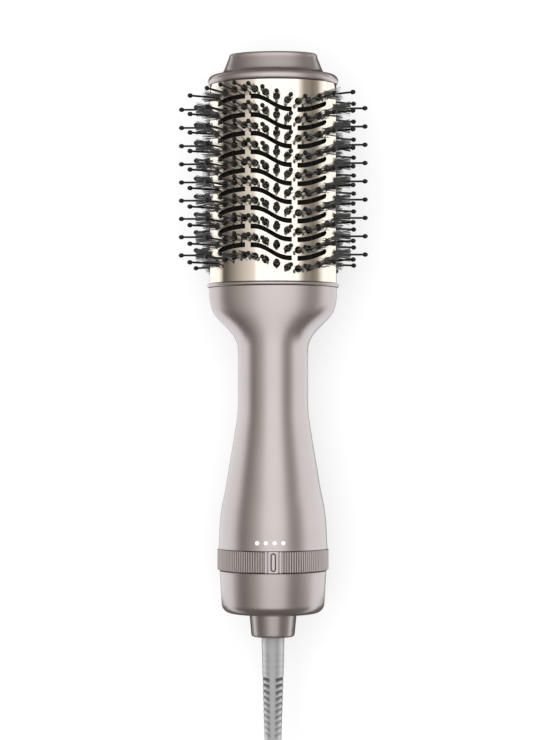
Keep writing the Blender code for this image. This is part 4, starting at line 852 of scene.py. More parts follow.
# How much wider than the groove beside the pad the ribs leave it
RIB_GAP_SHARE = 1.4
DIAL_REST_ANGLE = math.radians(3.2)
DIAL_MARK_HALF_WIDTH = 0.00165
DIAL_MARK_HALF_LENGTH = 0.0054
DIAL_MARK_LINE = 0.00085
DIAL_MARK_DEPTH = 0.00035
# The paler tone of the painted shade in the pad's engraved groove
PAINTED_SHADE_PALE = [1.3 * tone for tone in PAINTED_SHADE_DARK]


def turned(profile, sides):
    """A closed skin of rings round the axis through (radius, y) points."""
    rings = [oval(radius, radius, y, sides) for radius, y in profile]
    return skin_of([*rings, rings[0]], closed=False)


def growth_tree(name, sizes):
    """A Geometry Nodes tree with named sizes, its inputs by name and its last node."""
    tree = bpy.data.node_groups.new(name, "GeometryNodeTree")
    tree.interface.new_socket("Geometry", in_out="INPUT", socket_type="NodeSocketGeometry")
    tree.interface.new_socket("Geometry", in_out="OUTPUT", socket_type="NodeSocketGeometry")
    for title, value in sizes.items():
        kind = "NodeSocketInt" if isinstance(value, int) else "NodeSocketFloat"
        tree.interface.new_socket(title, in_out="INPUT", socket_type=kind).default_value = value
    return tree, add_node(tree, "NodeGroupInput").outputs, add_node(tree, "NodeGroupOutput")


def finished(tree, copies, end, material):
    """Realises the copies, smooths them and gives them their material."""
    last = copies
    for kind in ("GeometryNodeRealizeInstances", "GeometryNodeSetShadeSmooth", "GeometryNodeSetMaterial"):
        node = add_node(tree, kind, {0: last})
        last = node.outputs[0]
    node.inputs["Material"].default_value = material
    feed(tree, end, {0: last})


def grown(name, tree, sizes, places=((0, 0, 0),), attributes=()):
    """Runs a tree on loose points with attributes, and keeps its result as a plain mesh."""
    mesh = bpy.data.meshes.new(name)
    mesh.from_pydata([tuple(place) for place in places], [], [])
    for title, kind, numbers in attributes:
        layer = mesh.attributes.new(title, kind, "POINT")
        layer.data.foreach_set("vector" if kind == "FLOAT_VECTOR" else "value", numbers)
    piece = new_object(name, mesh)
    growth = piece.modifiers.new("growth", "NODES")
    growth.node_group = tree
    for socket in tree.interface.items_tree:
        if socket.name in sizes:
            growth[socket.identifier] = sizes[socket.name]
    settle(piece)
    return piece


def ribs_tree(sizes, material):
    """Straight round ribs, evenly spaced round the axis, with a gap for the pad."""
    tree, size, end = growth_tree("ribs round a ring", sizes)
    step = sums(tree, "DIVIDE", math.tau, size["Count"])
    index = add_node(tree, "GeometryNodeInputIndex").outputs[0]
    whole = sums(tree, "MULTIPLY", sums(tree, "ADD", index, 0.5), step)
    angle = sums(tree, "ADD", whole, size["Pad Angle"])
    across = sums(tree, "MULTIPLY", sums(tree, "SINE", angle), size["Ring Radius"])
    up = sums(tree, "MULTIPLY", sums(tree, "COSINE", angle), size["Ring Radius"])
    place = add_node(tree, "ShaderNodeCombineXYZ", {
        "X": across, "Y": size["Middle Y"], "Z": sums(tree, "ADD", up, size["Axis Height"])})
    points = add_node(tree, "GeometryNodePoints", {
        "Count": size["Count"], "Position": place.outputs[0]})
    from_pad = sums(tree, "MINIMUM", whole, sums(tree, "SUBTRACT", math.tau, whole))
    off_pad = add_node(tree, "FunctionNodeCompare", {"A": from_pad, "B": size["Pad Half Angle"]},
                       operation="GREATER_THAN")
    rod = add_node(tree, "GeometryNodeMeshCylinder", {
        "Vertices": 8, "Radius": size["Rib Radius"], "Depth": size["Rib Length"]}, fill_type="NGON")
    lay = add_node(tree, "GeometryNodeTransform", {
        "Geometry": rod.outputs["Mesh"], "Rotation": (math.pi / 2, 0, 0)})
    turn = add_node(tree, "ShaderNodeCombineXYZ", {"Y": angle})
    copies = add_node(tree, "GeometryNodeInstanceOnPoints", {
        "Points": points.outputs[0], "Selection": off_pad.outputs[0], "Instance": lay.outputs[0],
        "Rotation": turn.outputs[0]})
    finished(tree, copies.outputs[0], end, material)
    return tree


def pill(half_width, half_length, sides=16):
    """The outline of a pill, long along the brush, anticlockwise."""
    outline = []
    for centre, start in ((1, 0), (-1, math.pi)):
        for step in range(sides + 1):
            turn = start + math.pi * step / sides
            outline.append((half_width * math.cos(turn),
                            centre * (half_length - half_width) + half_width * math.sin(turn)))
    return outline


def dial_pad(paint, middle):
    """The pad with its engraved mark, and a smooth strip past the groove on each side of it."""
    half = DIAL_PAD_WIDTH / 2
    face = AXIS_HEIGHT + math.sqrt(DIAL_RADIUS**2 - half**2)
    low, high = DIAL_LOW + PAD_END_GAP, DIAL_HIGH - PAD_END_GAP
    rim = [(-half, low), (half, low), (half, high), (-half, high)]
    mark, island = [
        [(x, middle + y) for x, y in pill(DIAL_MARK_HALF_WIDTH - line, DIAL_MARK_HALF_LENGTH - line)]
        for line in (0, DIAL_MARK_LINE)]
    # The flat face round the mark, the groove's walls and floor, the island in it, and the sides
    points, faces = punched(rim, loop(4), [mark])
    places = [(point.x, point.y, face) for point in points]
    rows = [4]
    for outline, depth in ((mark, DIAL_MARK_DEPTH), (island, DIAL_MARK_DEPTH), (island, 0)):
        rows.append(len(places))
        places += [(x, y, face - depth) for x, y in outline]
    first_engraved = len(faces)
    for outer, inner in zip(rows, rows[1:]):
        faces += [(outer + a, inner + a, inner + b, outer + b) for a, b in loop(len(mark))]
    engraved = range(first_engraved, len(faces))
    faces.append(tuple(range(rows[-1], rows[-1] + len(island))))
    skirt = len(places)
    places += [(x, y, face - PAD_THICKNESS) for x, y in rim]
    faces += [(a, skirt + a, skirt + b, b) for a, b in loop(4)]
    faces.append((skirt + 3, skirt + 2, skirt + 1, skirt))
    shapes = [([about_axis(place, DIAL_REST_ANGLE) for place in places], faces)]
    edge = PAD_STRIP_WIDTH / 2
    for side in (-1, 1):
        angle = DIAL_REST_ANGLE + side * (half + PAD_GROOVE + edge) / DIAL_RADIUS
        shapes.append(skin_of([[about_axis((x, y, AXIS_HEIGHT + DIAL_RADIUS - down), angle)
                                for x, y in ((-edge, low), (edge, low), (edge, high), (-edge, high))]
                               for down in (PAD_STRIP_SINK, PAD_THICKNESS)]))
    pad = new_piece("dial_pad", *joined(shapes), paint, smooth=False)
    # The groove's walls and floor get a darker paint: painted shade in the engraved groove
    pad.data.materials.append(plain_finish(
        "painted shade in the groove", PAINTED_SHADE_DARK, PAINTED_SHADE_PALE, 900.0, (0.5, 0.6), 0.5))
    for number in engraved:
        pad.data.polygons[number].material_index = 1
    outward(pad, 30.0)
    return pad


def dial():
    """The ring, its ribs and its pad, all on the body that turns."""
    paint = rose_paint("dial paint")
    shaded = [[shade * tone for tone in tones]
              for shade, tones in zip(VALLEY_PAINTED_SHADE, (ROSE_DARK, ROSE_PALE))]
    skin = DIAL_RADIUS - DIAL_RIB_SINK
    bore = DIAL_RADIUS - DIAL_WALL
    profile = [(bore, DIAL_LOW), (skin - DIAL_EDGE, DIAL_LOW), (skin, DIAL_LOW + DIAL_EDGE),
               (skin, DIAL_HIGH - DIAL_EDGE), (skin - DIAL_EDGE, DIAL_HIGH), (bore, DIAL_HIGH)]
    # The ring's body between the ribs wears the darker paint: painted shade
    ring = new_piece("dial_body", *turned(profile, 128), rose_paint("painted shade between ribs", *shaded))
    outward(ring, 30.0)
    middle = (DIAL_LOW + DIAL_HIGH) / 2
    sizes = {
        "Count": DIAL_RIBS, "Ring Radius": DIAL_RADIUS - DIAL_RIB_RADIUS - RIB_INSET,
        "Rib Radius": DIAL_RIB_RADIUS, "Rib Length": DIAL_HIGH - DIAL_LOW - 2 * DIAL_EDGE,
        "Middle Y": middle, "Axis Height": AXIS_HEIGHT, "Pad Angle": DIAL_REST_ANGLE,
        "Pad Half Angle": (DIAL_PAD_WIDTH / 2 + PAD_GROOVE * RIB_GAP_SHARE + PAD_STRIP_WIDTH) / DIAL_RADIUS,
    }
    ribs = grown("dial_ribs", ribs_tree(sizes, paint), sizes)
    outward(ribs, 50.0)
    for piece in (ring, ribs, dial_pad(paint, middle)):
        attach(piece, "dial")
        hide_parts("dial_ring")


dial()

# Base cap: the painted cup that shuts the handle's lower end. Its floor has seven air slots,
# backed by a fine mesh, round a painted collar that carries the cord's relief.
BASE_TOP = -0.10145
BASE_FLOOR = -0.1264
BASE_TOP_RADIUS = 0.0314
BASE_FOOT_RADIUS = 0.0299
BASE_CORNER = 0.0056
BASE_WALL = 0.0020
BASE_LIP = 0.0004
BASE_HOLE_RADIUS = 0.0113
CUT_MARGIN = 0.0010
INTAKE_SLOTS = 7
INTAKE_SLOT_WIDTH = 0.0028
INTAKE_REACH = (0.0165, 0.0255)
COLLAR_FOOT = -0.1403
COLLAR_TOP_RADIUS = 0.0139
COLLAR_FOOT_RADIUS = 0.0128
COLLAR_EDGE = 0.0015
COLLAR_LIP = 0.0003
COLLAR_FLOOR = 0.0023
COLLAR_BORE = 0.0095
COLLAR_SPIGOT_RADIUS = 0.0110
COLLAR_SPIGOT_TOP = -0.1204
RELIEF_HOLE_RADIUS = 0.0068


def base_profile():
    """Half the cup's section, as (radius, y), round its wall and back."""
    side = BASE_FOOT_RADIUS + (BASE_TOP_RADIUS - BASE_FOOT_RADIUS) * BASE_CORNER / (BASE_TOP - BASE_FLOOR)
    corner, back = [
        [(side - wall - (BASE_CORNER - wall) * (1 - up), BASE_FLOOR + wall + (BASE_CORNER - wall) * inward)
         for inward, up in quarter(steps)] for wall, steps in ((0, 10), (BASE_WALL, 6))]
    return [(BASE_HOLE_RADIUS, BASE_FLOOR), *corner, (BASE_TOP_RADIUS, BASE_TOP - BASE_LIP),
            (BASE_TOP_RADIUS - BASE_LIP, BASE_TOP), (BASE_TOP_RADIUS - BASE_WALL, BASE_TOP),
            *reversed(back), (BASE_HOLE_RADIUS, BASE_FLOOR + BASE_WALL)]


def base_cap():
    """The cup, with its air slots cut through the floor."""
    cup = new_piece("base_cup", *turned(base_profile(), 112), rose_paint("base paint"))
    outward(cup, 40.0)
    low, high = INTAKE_REACH
    outline = [(x, (low + high) / 2 + y) for x, y in pill(INTAKE_SLOT_WIDTH / 2, (high - low) / 2, 8)]
    slots = []
    for slot in range(INTAKE_SLOTS):
        angle = math.tau * (slot + 0.5) / INTAKE_SLOTS
        slots.append(skin_of([[about_axis((x, y, AXIS_HEIGHT + reach), angle) for x, reach in outline]
                              for y in (BASE_FLOOR - CUT_MARGIN, BASE_FLOOR + BASE_WALL + CUT_MARGIN)]))
    cut_out(cup, slots, 40.0)
    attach(cup, "handle")
    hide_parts("base_cap")


def cord_collar():
    """The collar under the cup, with its spigot up through the cup's hole."""
    edge = [(COLLAR_FOOT_RADIUS - COLLAR_EDGE * (1 - up), COLLAR_FOOT + COLLAR_EDGE * inward)
            for inward, up in quarter(7)]
    top = BASE_FLOOR - FIT_GAP
    profile = [(RELIEF_HOLE_RADIUS, COLLAR_FOOT), *edge, (COLLAR_TOP_RADIUS, top - COLLAR_LIP),
               (COLLAR_TOP_RADIUS - COLLAR_LIP, top), (COLLAR_SPIGOT_RADIUS, top),
               (COLLAR_SPIGOT_RADIUS, COLLAR_SPIGOT_TOP), (COLLAR_BORE, COLLAR_SPIGOT_TOP),
               (COLLAR_BORE, COLLAR_FOOT + COLLAR_FLOOR), (RELIEF_HOLE_RADIUS, COLLAR_FOOT + COLLAR_FLOOR)]
    collar = new_piece("relief_collar", *turned(profile, 80), rose_paint("collar paint"))
    outward(collar, 40.0)
    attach(collar, "handle")
    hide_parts("cord_collar")


base_cap()
cord_collar()

# Strain relief: a soft grey rubber sleeve, 62 mm long, that tapers onto the cord. Its lower part
# is notched from both sides so that it bends easily. It turns freely in a hard bush.
RELIEF_TOP = -0.1403
RELIEF_END = -0.2023
RELIEF_SHANK_TOP = -0.1300
RELIEF_TOP_RADIUS = 0.0067
RELIEF_END_RADIUS = 0.0049
RELIEF_SWELL = 1.35
RELIEF_END_ROUND = 0.0004
RELIEF_RING_PITCH = 0.00030
NOTCH_FIRST = -0.1648
NOTCH_PITCH = 0.00352
NOTCHES = 10
# Faint grooves above the notches
FAINT_GROOVES = 4
NOTCH_DEPTH = 0.0013
NOTCH_HALF_WIDTH = 0.00112
# How far the notches slant from the sides to the spines: partly at the first, more at each one
NOTCH_SLANT = 0.0024
SLANT_AT_FIRST = 0.4
SLANT_GROWTH = 1 / 6
# Each notch is cut less deep than the one above it, and the faint grooves are barely cut
NOTCH_FADE = 0.55
FAINT_SHARE = 0.16
# Where a notch starts and over how far it deepens: round from the spine, and off its own middle
NOTCH_SIDEWAYS = (0.28, 0.14)
NOTCH_BANK = (0.45, 0.70)
# Where the sleeve is widest its notches are shallow, and at its sides a painted sheen lightens it
SHALLOW_SIDEWAYS = (0.75, 0.25)
SHALLOW_SHARE = 0.75
PAINTED_SHEEN_SIDEWAYS = (0.40, 0.55)
PAINTED_SHEEN_GREY = (0.72, 0.72, 0.72)
# The painted shade in the notches
NOTCH_PAINTED_SHADE = (0.09, 0.09, 0.09)


def relief_rubber():
    """Grey rubber with a soft shine, with a painted sheen lighter at its sides and painted shade dark in the
    notches.
    """
    material, tree, shader = new_material("relief rubber", {"Coat Weight": 0.6, "Coat Roughness": 0.18})
    fine = noise_at(tree, 2600.0)
    feed(tree, shader, {
        "Base Color": two_tones(tree, noise_at(tree, 300.0), (0.30, 0.30, 0.30), (0.36, 0.36, 0.36)),
        "Roughness": spread(tree, fine, 0.38, 0.52), "Normal": bumps(tree, fine, 0.2, 0.00003)})
    # Painted sheen on the sides, by the side attribute
    paint_shade_or_sheen_by(material, "side", PAINTED_SHEEN_GREY)
    # Painted shade in the notches, by the notch attribute
    paint_shade_or_sheen_by(material, "notch", NOTCH_PAINTED_SHADE)
    return material


def notch_share(y, turn):
    """How deep a place lies in a notch, from 0 to 1. The spines in front and behind stay smooth."""
    sideways = abs(math.cos(turn))
    lower = (NOTCH_FIRST - y) / NOTCH_PITCH
    slant = NOTCH_SLANT / NOTCH_PITCH * min(max(SLANT_AT_FIRST + SLANT_GROWTH * lower, 0), 1)
    place = lower - slant * (1 - sideways)
    nearest = min(max(round(place), -FAINT_GROOVES), NOTCHES - 1)
    off = abs(place - nearest) * NOTCH_PITCH / NOTCH_HALF_WIDTH
    strength = FAINT_SHARE if nearest < 0 else 1 - NOTCH_FADE * nearest / NOTCHES
    return strength * ease(sideways, *NOTCH_SIDEWAYS) * (1 - ease(off, *NOTCH_BANK))


def relief_radius(y, turn):
    """The sleeve's radius: a taper, less its notches."""
    share = (RELIEF_TOP - y) / (RELIEF_TOP - RELIEF_END)
    taper = min(max(share, 0), 1) ** RELIEF_SWELL
    radius = RELIEF_TOP_RADIUS + (RELIEF_END_RADIUS - RELIEF_TOP_RADIUS) * taper
    depth = NOTCH_DEPTH * (1 - SHALLOW_SHARE * ease(abs(math.cos(turn)), *SHALLOW_SIDEWAYS))
    return radius - depth * notch_share(y, turn)


def strain_relief():
    """The sleeve as rings close enough together to show each notch."""
    rings, notch_painted_shade, side_painted_sheen = [], [], []
    count = round((RELIEF_SHANK_TOP - RELIEF_END) / RELIEF_RING_PITCH)
    for row in range(count + 1):
        y = RELIEF_SHANK_TOP + (RELIEF_END - RELIEF_SHANK_TOP) * row / count
        ring = []
        for turn in round_turns(72):
            radius = relief_radius(y, turn) - (RELIEF_END_ROUND if row == count else 0)
            ring.append((radius * math.cos(turn), y, AXIS_HEIGHT + radius * math.sin(turn)))
            notch_painted_shade.append(notch_share(y, turn))
            side_painted_sheen.append(ease(abs(math.cos(turn)), *PAINTED_SHEEN_SIDEWAYS))
        rings.append(ring)
    piece = new_piece("relief_sleeve", *skin_of(rings), relief_rubber())
    # The notches' painted shade and the sides' painted sheen, as attributes of the points
    for title, values in (("notch", notch_painted_shade), ("side", side_painted_sheen)):
        piece.data.attributes.new(title, "FLOAT", "POINT").data.foreach_set("value", values)
    outward(piece, 60.0)
    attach(piece, "cord_swivel")
    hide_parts("strain_relief")


strain_relief()

# Barrel sleeve: an oval aluminium tube, 1 mm thick, anodised pale gold and polished like a mirror.
# Wavy air slots and round holes for the tufts are punched through it before it is rolled.
BARREL_HALF_WIDTH = 0.0375
BARREL_HALF_DEPTH = 0.02244
SLEEVE_LOW = 0.0674
SLEEVE_HIGH = 0.1851
SLEEVE_WALL = 0.0010
SLEEVE_LINES = 180
# The bristle frame's flats all round, and those that carry a column, counted from the front
FLATS = 30
FRONT_FLATS = tuple(range(-6, 6))
BACK_FLATS = tuple(range(9, 21))
END_FLATS = (7, 22)
ROWS = 10
ROW_PITCH = 0.01086
ROWS_MIDDLE = 0.12625
WAVE_HEIGHT = 0.00405
WAVES_ROUND = 3
END_COLUMN_SHIFT = 0.0039
SLOT_HALF_WIDTH = 0.00145
SLOT_SHIFT = 0.0016
MIDDLE_SLOT_RISE = 0.0039
# Start and end of each slot in a row, as arcs from the middle of its face
SLOT_SPANS = ((-0.0121, 0.0121), (0.0154, 0.0345), (-0.0154, -0.0345))
SLOT_STEPS = 26
# A slot's width at its round tip, as a share of its full width
SLOT_TIP_SHARE = math.sqrt(0.02)
TUFT_HOLE_RADIUS = 0.0022
TUFT_LIFT = 0.0010
# How much flatter the wave runs out at the left edge of a face, from which arc and over how much
LEFT_LIFT = 0.0013
LEFT_LIFT_ARCS = (0.018, 0.014)


def arc_lengths(steps=2880):
    """Running arc length round the barrel's oval, from its front towards the right."""
    table, length, last = [0.0], 0.0, (0.0, BARREL_HALF_DEPTH)
    for step in range(1, steps + 1):
        turn = math.tau * step / steps
        point = (BARREL_HALF_WIDTH * math.sin(turn), BARREL_HALF_DEPTH * math.cos(turn))
        length += math.dist(last, point)
        table.append(length)
        last = point
    return table


ARC_LENGTHS = arc_lengths()
ROUND = ARC_LENGTHS[-1]


def on_oval(arc, inset=0.0):
    """A point of the barrel's oval and the way out of it, as two (x, z) vectors."""
    target = arc % ROUND
    low, high = 0, len(ARC_LENGTHS) - 1
    while high - low > 1:
        middle = (low + high) // 2
        if ARC_LENGTHS[middle] <= target:
            low = middle
        else:
            high = middle
    within = (target - ARC_LENGTHS[low]) / (ARC_LENGTHS[high] - ARC_LENGTHS[low])
    turn = math.tau * (low + within) / (len(ARC_LENGTHS) - 1)
    point = Vector((BARREL_HALF_WIDTH * math.sin(turn), BARREL_HALF_DEPTH * math.cos(turn)))
    way = Vector((math.sin(turn) / BARREL_HALF_WIDTH, math.cos(turn) / BARREL_HALF_DEPTH)).normalized()
    return point - way * inset, way


def flat_of(index):
    """The two edges, the middle and the way out of one flat of the bristle frame, as (x, z)."""
    first, second = on_oval(ROUND * index / FLATS)[0], on_oval(ROUND * (index + 1) / FLATS)[0]
    along = (second - first).normalized()
    return first, second, (first + second) / 2, Vector((-along.y, along.x))


def wave(arc):
    """How far a row bends along the brush at an arc from the middle of its face."""
    flatter = LEFT_LIFT * ease(-arc, *LEFT_LIFT_ARCS)
    return flatter - WAVE_HEIGHT * math.sin(math.tau * WAVES_ROUND * arc / ROUND)


def slot_bend(arc, middle_end):
    """The slots' own bend: the middle one is an S that runs out level at both ends."""
    if abs(arc) > middle_end:
        return wave(arc)
    share = arc / middle_end
    return -MIDDLE_SLOT_RISE * share * (15 - 10 * share**2 + 3 * share**4) / 8


def tuft_rows(index):
    """The Y of each tuft in a column. The rows wave across both faces, and an end has one less."""
    first, shift = 1, -END_COLUMN_SHIFT
    if index % FLATS not in END_FLATS:
        first = 0
        folded = (ROUND * (index + 0.5) / FLATS + ROUND / 4) % ROUND - ROUND / 4
        shift = TUFT_LIFT + wave(folded if folded <= ROUND / 4 else ROUND / 2 - folded)
    return [ROWS_MIDDLE + shift + ROW_PITCH * (row - (ROWS - 1) / 2) for row in range(first, ROWS)]


def slot_outline(start, end, row, back):
    """One wavy slot, square at the bridges and round at its outer end, as points (arc, y)."""
    near, far = [], []
    for step in range(SLOT_STEPS + 1):
        arc = start + (end - start) * step / SLOT_STEPS
        y = ROWS_MIDDLE + SLOT_SHIFT + ROW_PITCH * (row - (ROWS - 2) / 2) + slot_bend(arc, SLOT_SPANS[0][1])
        half = SLOT_HALF_WIDTH
        to_end = abs(end - arc)
        if start != -end and to_end < SLOT_HALF_WIDTH:
            half *= max(math.sqrt(1 - (1 - to_end / SLOT_HALF_WIDTH) ** 2), SLOT_TIP_SHARE)
        place = -ROUND / 2 - arc if back else arc
        near.append((place, y - half))
        far.append((place, y + half))
    outline = near + far[::-1]
    return outline if near[0][0] < near[-1][0] else outline[::-1]


def sleeve_openings():
    """Every opening of the sleeve, laid out flat."""
    openings = []
    for index in (*FRONT_FLATS, *BACK_FLATS, *END_FLATS):
        wrapped = index if index <= END_FLATS[0] else index - FLATS
        middle = ROUND * (wrapped + 0.5) / FLATS
        openings += [[(middle + TUFT_HOLE_RADIUS * math.cos(turn), y + TUFT_HOLE_RADIUS * math.sin(turn))
                      for turn in round_turns(14)] for y in tuft_rows(index)]
    for row in range(ROWS - 1):
        for back in (False, True):
            openings += [slot_outline(start, end, row, back) for start, end in SLOT_SPANS]
    return openings


def champagne():
    """Polished anodised metal, with faint draw marks that run along the tube."""
    material, tree, shader = new_material("champagne metal", {"Metallic": 1.0})
    marks = noise_at(tree, 900.0, (1, 0.02, 1))
    feed(tree, shader, {
        "Base Color": two_tones(tree, noise_at(tree, 30.0), (0.885, 0.800, 0.665), (0.915, 0.835, 0.705)),
        "Roughness": spread(tree, marks, 0.05, 0.10), "Normal": bumps(tree, marks, 0.03, 0.00001)})
    return material


def barrel_sleeve():
    """The sleeve is punched flat, bent round the oval and given its wall."""
    seam = ROUND * END_FLATS[0] / FLATS - ROUND
    arcs = [seam + ROUND * line / SLEEVE_LINES for line in range(SLEEVE_LINES + 1)]
    flat = [(arc, y) for arc in arcs for y in (SLEEVE_LOW, SLEEVE_HIGH)]
    edges = [(2 * k + end, 2 * k + 2 + end) for k in range(SLEEVE_LINES) for end in (0, 1)]
    edges += [(2 * k, 2 * k + 1) for k in range(SLEEVE_LINES + 1)]
    points, skin = punched(flat, edges, sleeve_openings(), 0.0000003)
    places, ways = [], []
    for inset, side in ((0, 1), (SLEEVE_WALL, -1)):
        for arc, y in points:
            place, way = on_oval(arc, inset)
            places.append((place.x, y, AXIS_HEIGHT + place.y))
            ways.append(side * Vector((way.x, 0, way.y)))
    # An edge that only one triangle uses is a rim, unless it lies on the seam where the tube closes
    uses = {}
    for triangle in skin:
        for here, there in zip(triangle, (*triangle[1:], triangle[0])):
            uses.setdefault(frozenset((here, there)), []).append((here, there))
    rims = [pairs[0] for pairs in uses.values() if len(pairs) == 1
            and not any(all(abs(points[k].x - end) < 1e-7 for k in pairs[0]) for end in (seam, seam + ROUND))]
    count = len(points)
    faces = skin + [(count + a, count + c, count + b) for a, b, c in skin]
    faces += [(there, here, here + count, there + count) for here, there in rims]
    piece = new_piece("sleeve", places, faces, champagne())
    # The two skins reflect as the true oval does, and each rim as the flat cut that it is
    normals = []
    for face in piece.data.polygons:
        on_skin = face.index < 2 * len(skin)
        normals += [ways[corner] if on_skin else face.normal.copy() for corner in face.vertices]
    piece.data.normals_split_custom_set(normals)
    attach(piece, "handle")
    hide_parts("barrel_sleeve")


barrel_sleeve()

# Bristles: fourteen nylon bars lie inside the sleeve and stand their bristles out through its
# holes. Each tuft is a ring of thin soft strands with one stiff ball-tipped pin in its middle.
PIN_RADIUS = 0.00060
PIN_HEIGHT = 0.0190
PIN_ROOT = 0.0022
BALL_RADIUS = 0.00140
BALL_HEIGHT = 0.0033
SHOULDER_LEAN = math.radians(62.0)
STRAND_RADIUS = 0.00018
STRAND_HEIGHT = 0.0092
STRAND_LENGTHS = (0.92, 1.0)
STRAND_TAPER = 0.55
STRAND_ROOT = 0.0015
TUFT_RADIUS = 0.0019
# A strand's place in its tuft, as a share of the tuft's area, and how much more or less it leans
STRAND_PLACES = (0.02, 1.0)
FAN_SPREADS = (0.8, 1.2)
# The columns in the middles of the front and the back, which stand upright, and at their edges
UPRIGHT_FLATS = FRONT_FLATS[4:8] + BACK_FLATS[4:8]
EDGE_FLATS = (FRONT_FLATS[0], FRONT_FLATS[-1], BACK_FLATS[0], BACK_FLATS[-1])
# A tuft's strands and how far they spread: in a face's middle, off it, at its edge, on the ends
UPRIGHT_TUFT = (34, 0.05)
LEANING_TUFT = (16, 0.12)
EDGE_TUFT = (40, 0.22)
END_TUFT = (70, 0.24)
BAR_LOW = 0.0674
BAR_HIGH = 0.1818
BAR_THICKNESS = 0.0016
BAR_CLEARANCE = 0.0006
# A bar starts and ends at this share of its outer flats
BAR_EDGE_SHARE = 0.19
BAR_CHAMFER = 0.0003
# How far above the table the tips of the lowest pins end
TABLE_GAP = 0.0001


def black_nylon(name, dark, pale, rough, specular=0.5):
    """Black nylon, whose tone and gloss change from strand to strand."""
    material, tree, shader = new_material(name, {"Specular IOR Level": specular})
    grain = noise_at(tree, 1500.0, (0.2, 1, 0.2))
    feed(tree, shader, {"Base Color": two_tones(tree, grain, dark, pale),
                        "Roughness": spread(tree, grain, *rough)})
    return material


def tuft_size(index):
    """A column's strands in a tuft and how far they spread."""
    if index in END_FLATS:
        return END_TUFT
    if index in EDGE_FLATS:
        return EDGE_TUFT
    return UPRIGHT_TUFT if index in UPRIGHT_FLATS else LEANING_TUFT


def pin_way(index):
    """The way a column's pins point, as (x, z). The outer columns of a face lean further out."""
    way = flat_of(index)[3]
    if index in EDGE_FLATS:
        way = Vector((math.copysign(math.sin(SHOULDER_LEAN), way.x),
                      math.copysign(math.cos(SHOULDER_LEAN), way.y)))
    return way


def tuft_places():
    """The tufts' feet, their ways out, their pins' reach above the table, strands and spread."""
    feet, ways, reaches, strands, fans = [], [], [], [], []
    for index in (*FRONT_FLATS, *BACK_FLATS, *END_FLATS):
        middle, way = flat_of(index)[2], pin_way(index)
        height = AXIS_HEIGHT + middle.y
        reach = PIN_HEIGHT
        if height + way.y * reach < TABLE_GAP:
            reach = (height - TABLE_GAP) / -way.y
        count, fan = tuft_size(index)
        for y in tuft_rows(index):
            feet.append((middle.x, y, height))
            ways += (way.x, 0.0, way.y)
            reaches.append(reach)
            strands.append(count)
            fans.append(fan)
    return feet, (("way", "FLOAT_VECTOR", ways), ("reach", "FLOAT", reaches),
                  ("strands", "INT", strands), ("fan", "FLOAT", fans))


def vector_sum(tree, operation, first, second):
    """The vector output of a Vector Math node. Each side is a value or another node's output."""
    return add_node(tree, "ShaderNodeVectorMath", {0: first, 1: second}, operation=operation).outputs[0]


def scaled(tree, vector, amount):
    """A vector times an amount."""
    return add_node(tree, "ShaderNodeVectorMath", {0: vector, "Scale": amount},
                    operation="SCALE").outputs[0]


def named(tree, title, kind):
    """A named attribute of the points."""
    return add_node(tree, "GeometryNodeInputNamedAttribute", {"Name": title},
                    data_type=kind).outputs["Attribute"]


def chance(tree, low, high, seed):
    """A random number for each point, with a fixed seed."""
    return add_node(tree, "FunctionNodeRandomValue", {2: low, 3: high, "Seed": seed},
                    data_type="FLOAT").outputs[1]


def planted(tree, feet, offset, shape, way, size):
    """Copies of a shape, stood along a way on feet that are moved by an offset."""
    moved = add_node(tree, "GeometryNodeSetPosition", {"Geometry": feet, "Offset": offset})
    aim = add_node(tree, "FunctionNodeAlignRotationToVector", {"Vector": way}, axis="Z")
    return add_node(tree, "GeometryNodeInstanceOnPoints", {
        "Points": moved.outputs[0], "Instance": shape, "Rotation": aim.outputs[0],
        "Scale": size}).outputs[0]


def triple(tree, x, y, z):
    """A vector of three numbers or other nodes' outputs."""
    return add_node(tree, "ShaderNodeCombineXYZ", {"X": x, "Y": y, "Z": z}).outputs[0]


def strands_tree(sizes, material):
    """A fan of thin tapered strands on each tuft."""
    tree, size, end = growth_tree("nylon tufts", sizes)
    more = add_node(tree, "GeometryNodeDuplicateElements", {
        "Geometry": size["Geometry"], "Amount": named(tree, "strands", "INT")}, domain="POINT")
    way = named(tree, "way", "FLOAT_VECTOR")
    across = vector_sum(tree, "CROSS_PRODUCT", way, (0, 1, 0))
    turn = chance(tree, 0.0, math.tau, 3)
    out = sums(tree, "SQRT", chance(tree, *STRAND_PLACES, 8))
    sideways = scaled(tree, across, sums(tree, "MULTIPLY", sums(tree, "COSINE", turn), out))
    along = triple(tree, 0.0, sums(tree, "MULTIPLY", sums(tree, "SINE", turn), out), 0.0)
    spot = vector_sum(tree, "ADD", sideways, along)
    fan = sums(tree, "MULTIPLY", named(tree, "fan", "FLOAT"), chance(tree, *FAN_SPREADS, 21))
    aim = vector_sum(tree, "ADD", way, scaled(tree, spot, fan))
    down = scaled(tree, way, sums(tree, "MULTIPLY", size["Root"], -1.0))
    root = vector_sum(tree, "ADD", scaled(tree, spot, size["Tuft Radius"]), down)
    cone = add_node(tree, "GeometryNodeMeshCone", {
        "Vertices": 3, "Depth": 1.0, "Radius Bottom": size["Strand Radius"],
        "Radius Top": sums(tree, "MULTIPLY", size["Strand Radius"], STRAND_TAPER)}, fill_type="NONE")
    height = sums(tree, "MULTIPLY", size["Strand Height"], chance(tree, *STRAND_LENGTHS, 34))
    fans = planted(tree, more.outputs["Geometry"], root, cone.outputs["Mesh"], aim,
                   triple(tree, 1.0, 1.0, sums(tree, "ADD", height, size["Root"])))
    finished(tree, fans, end, material)
    return tree


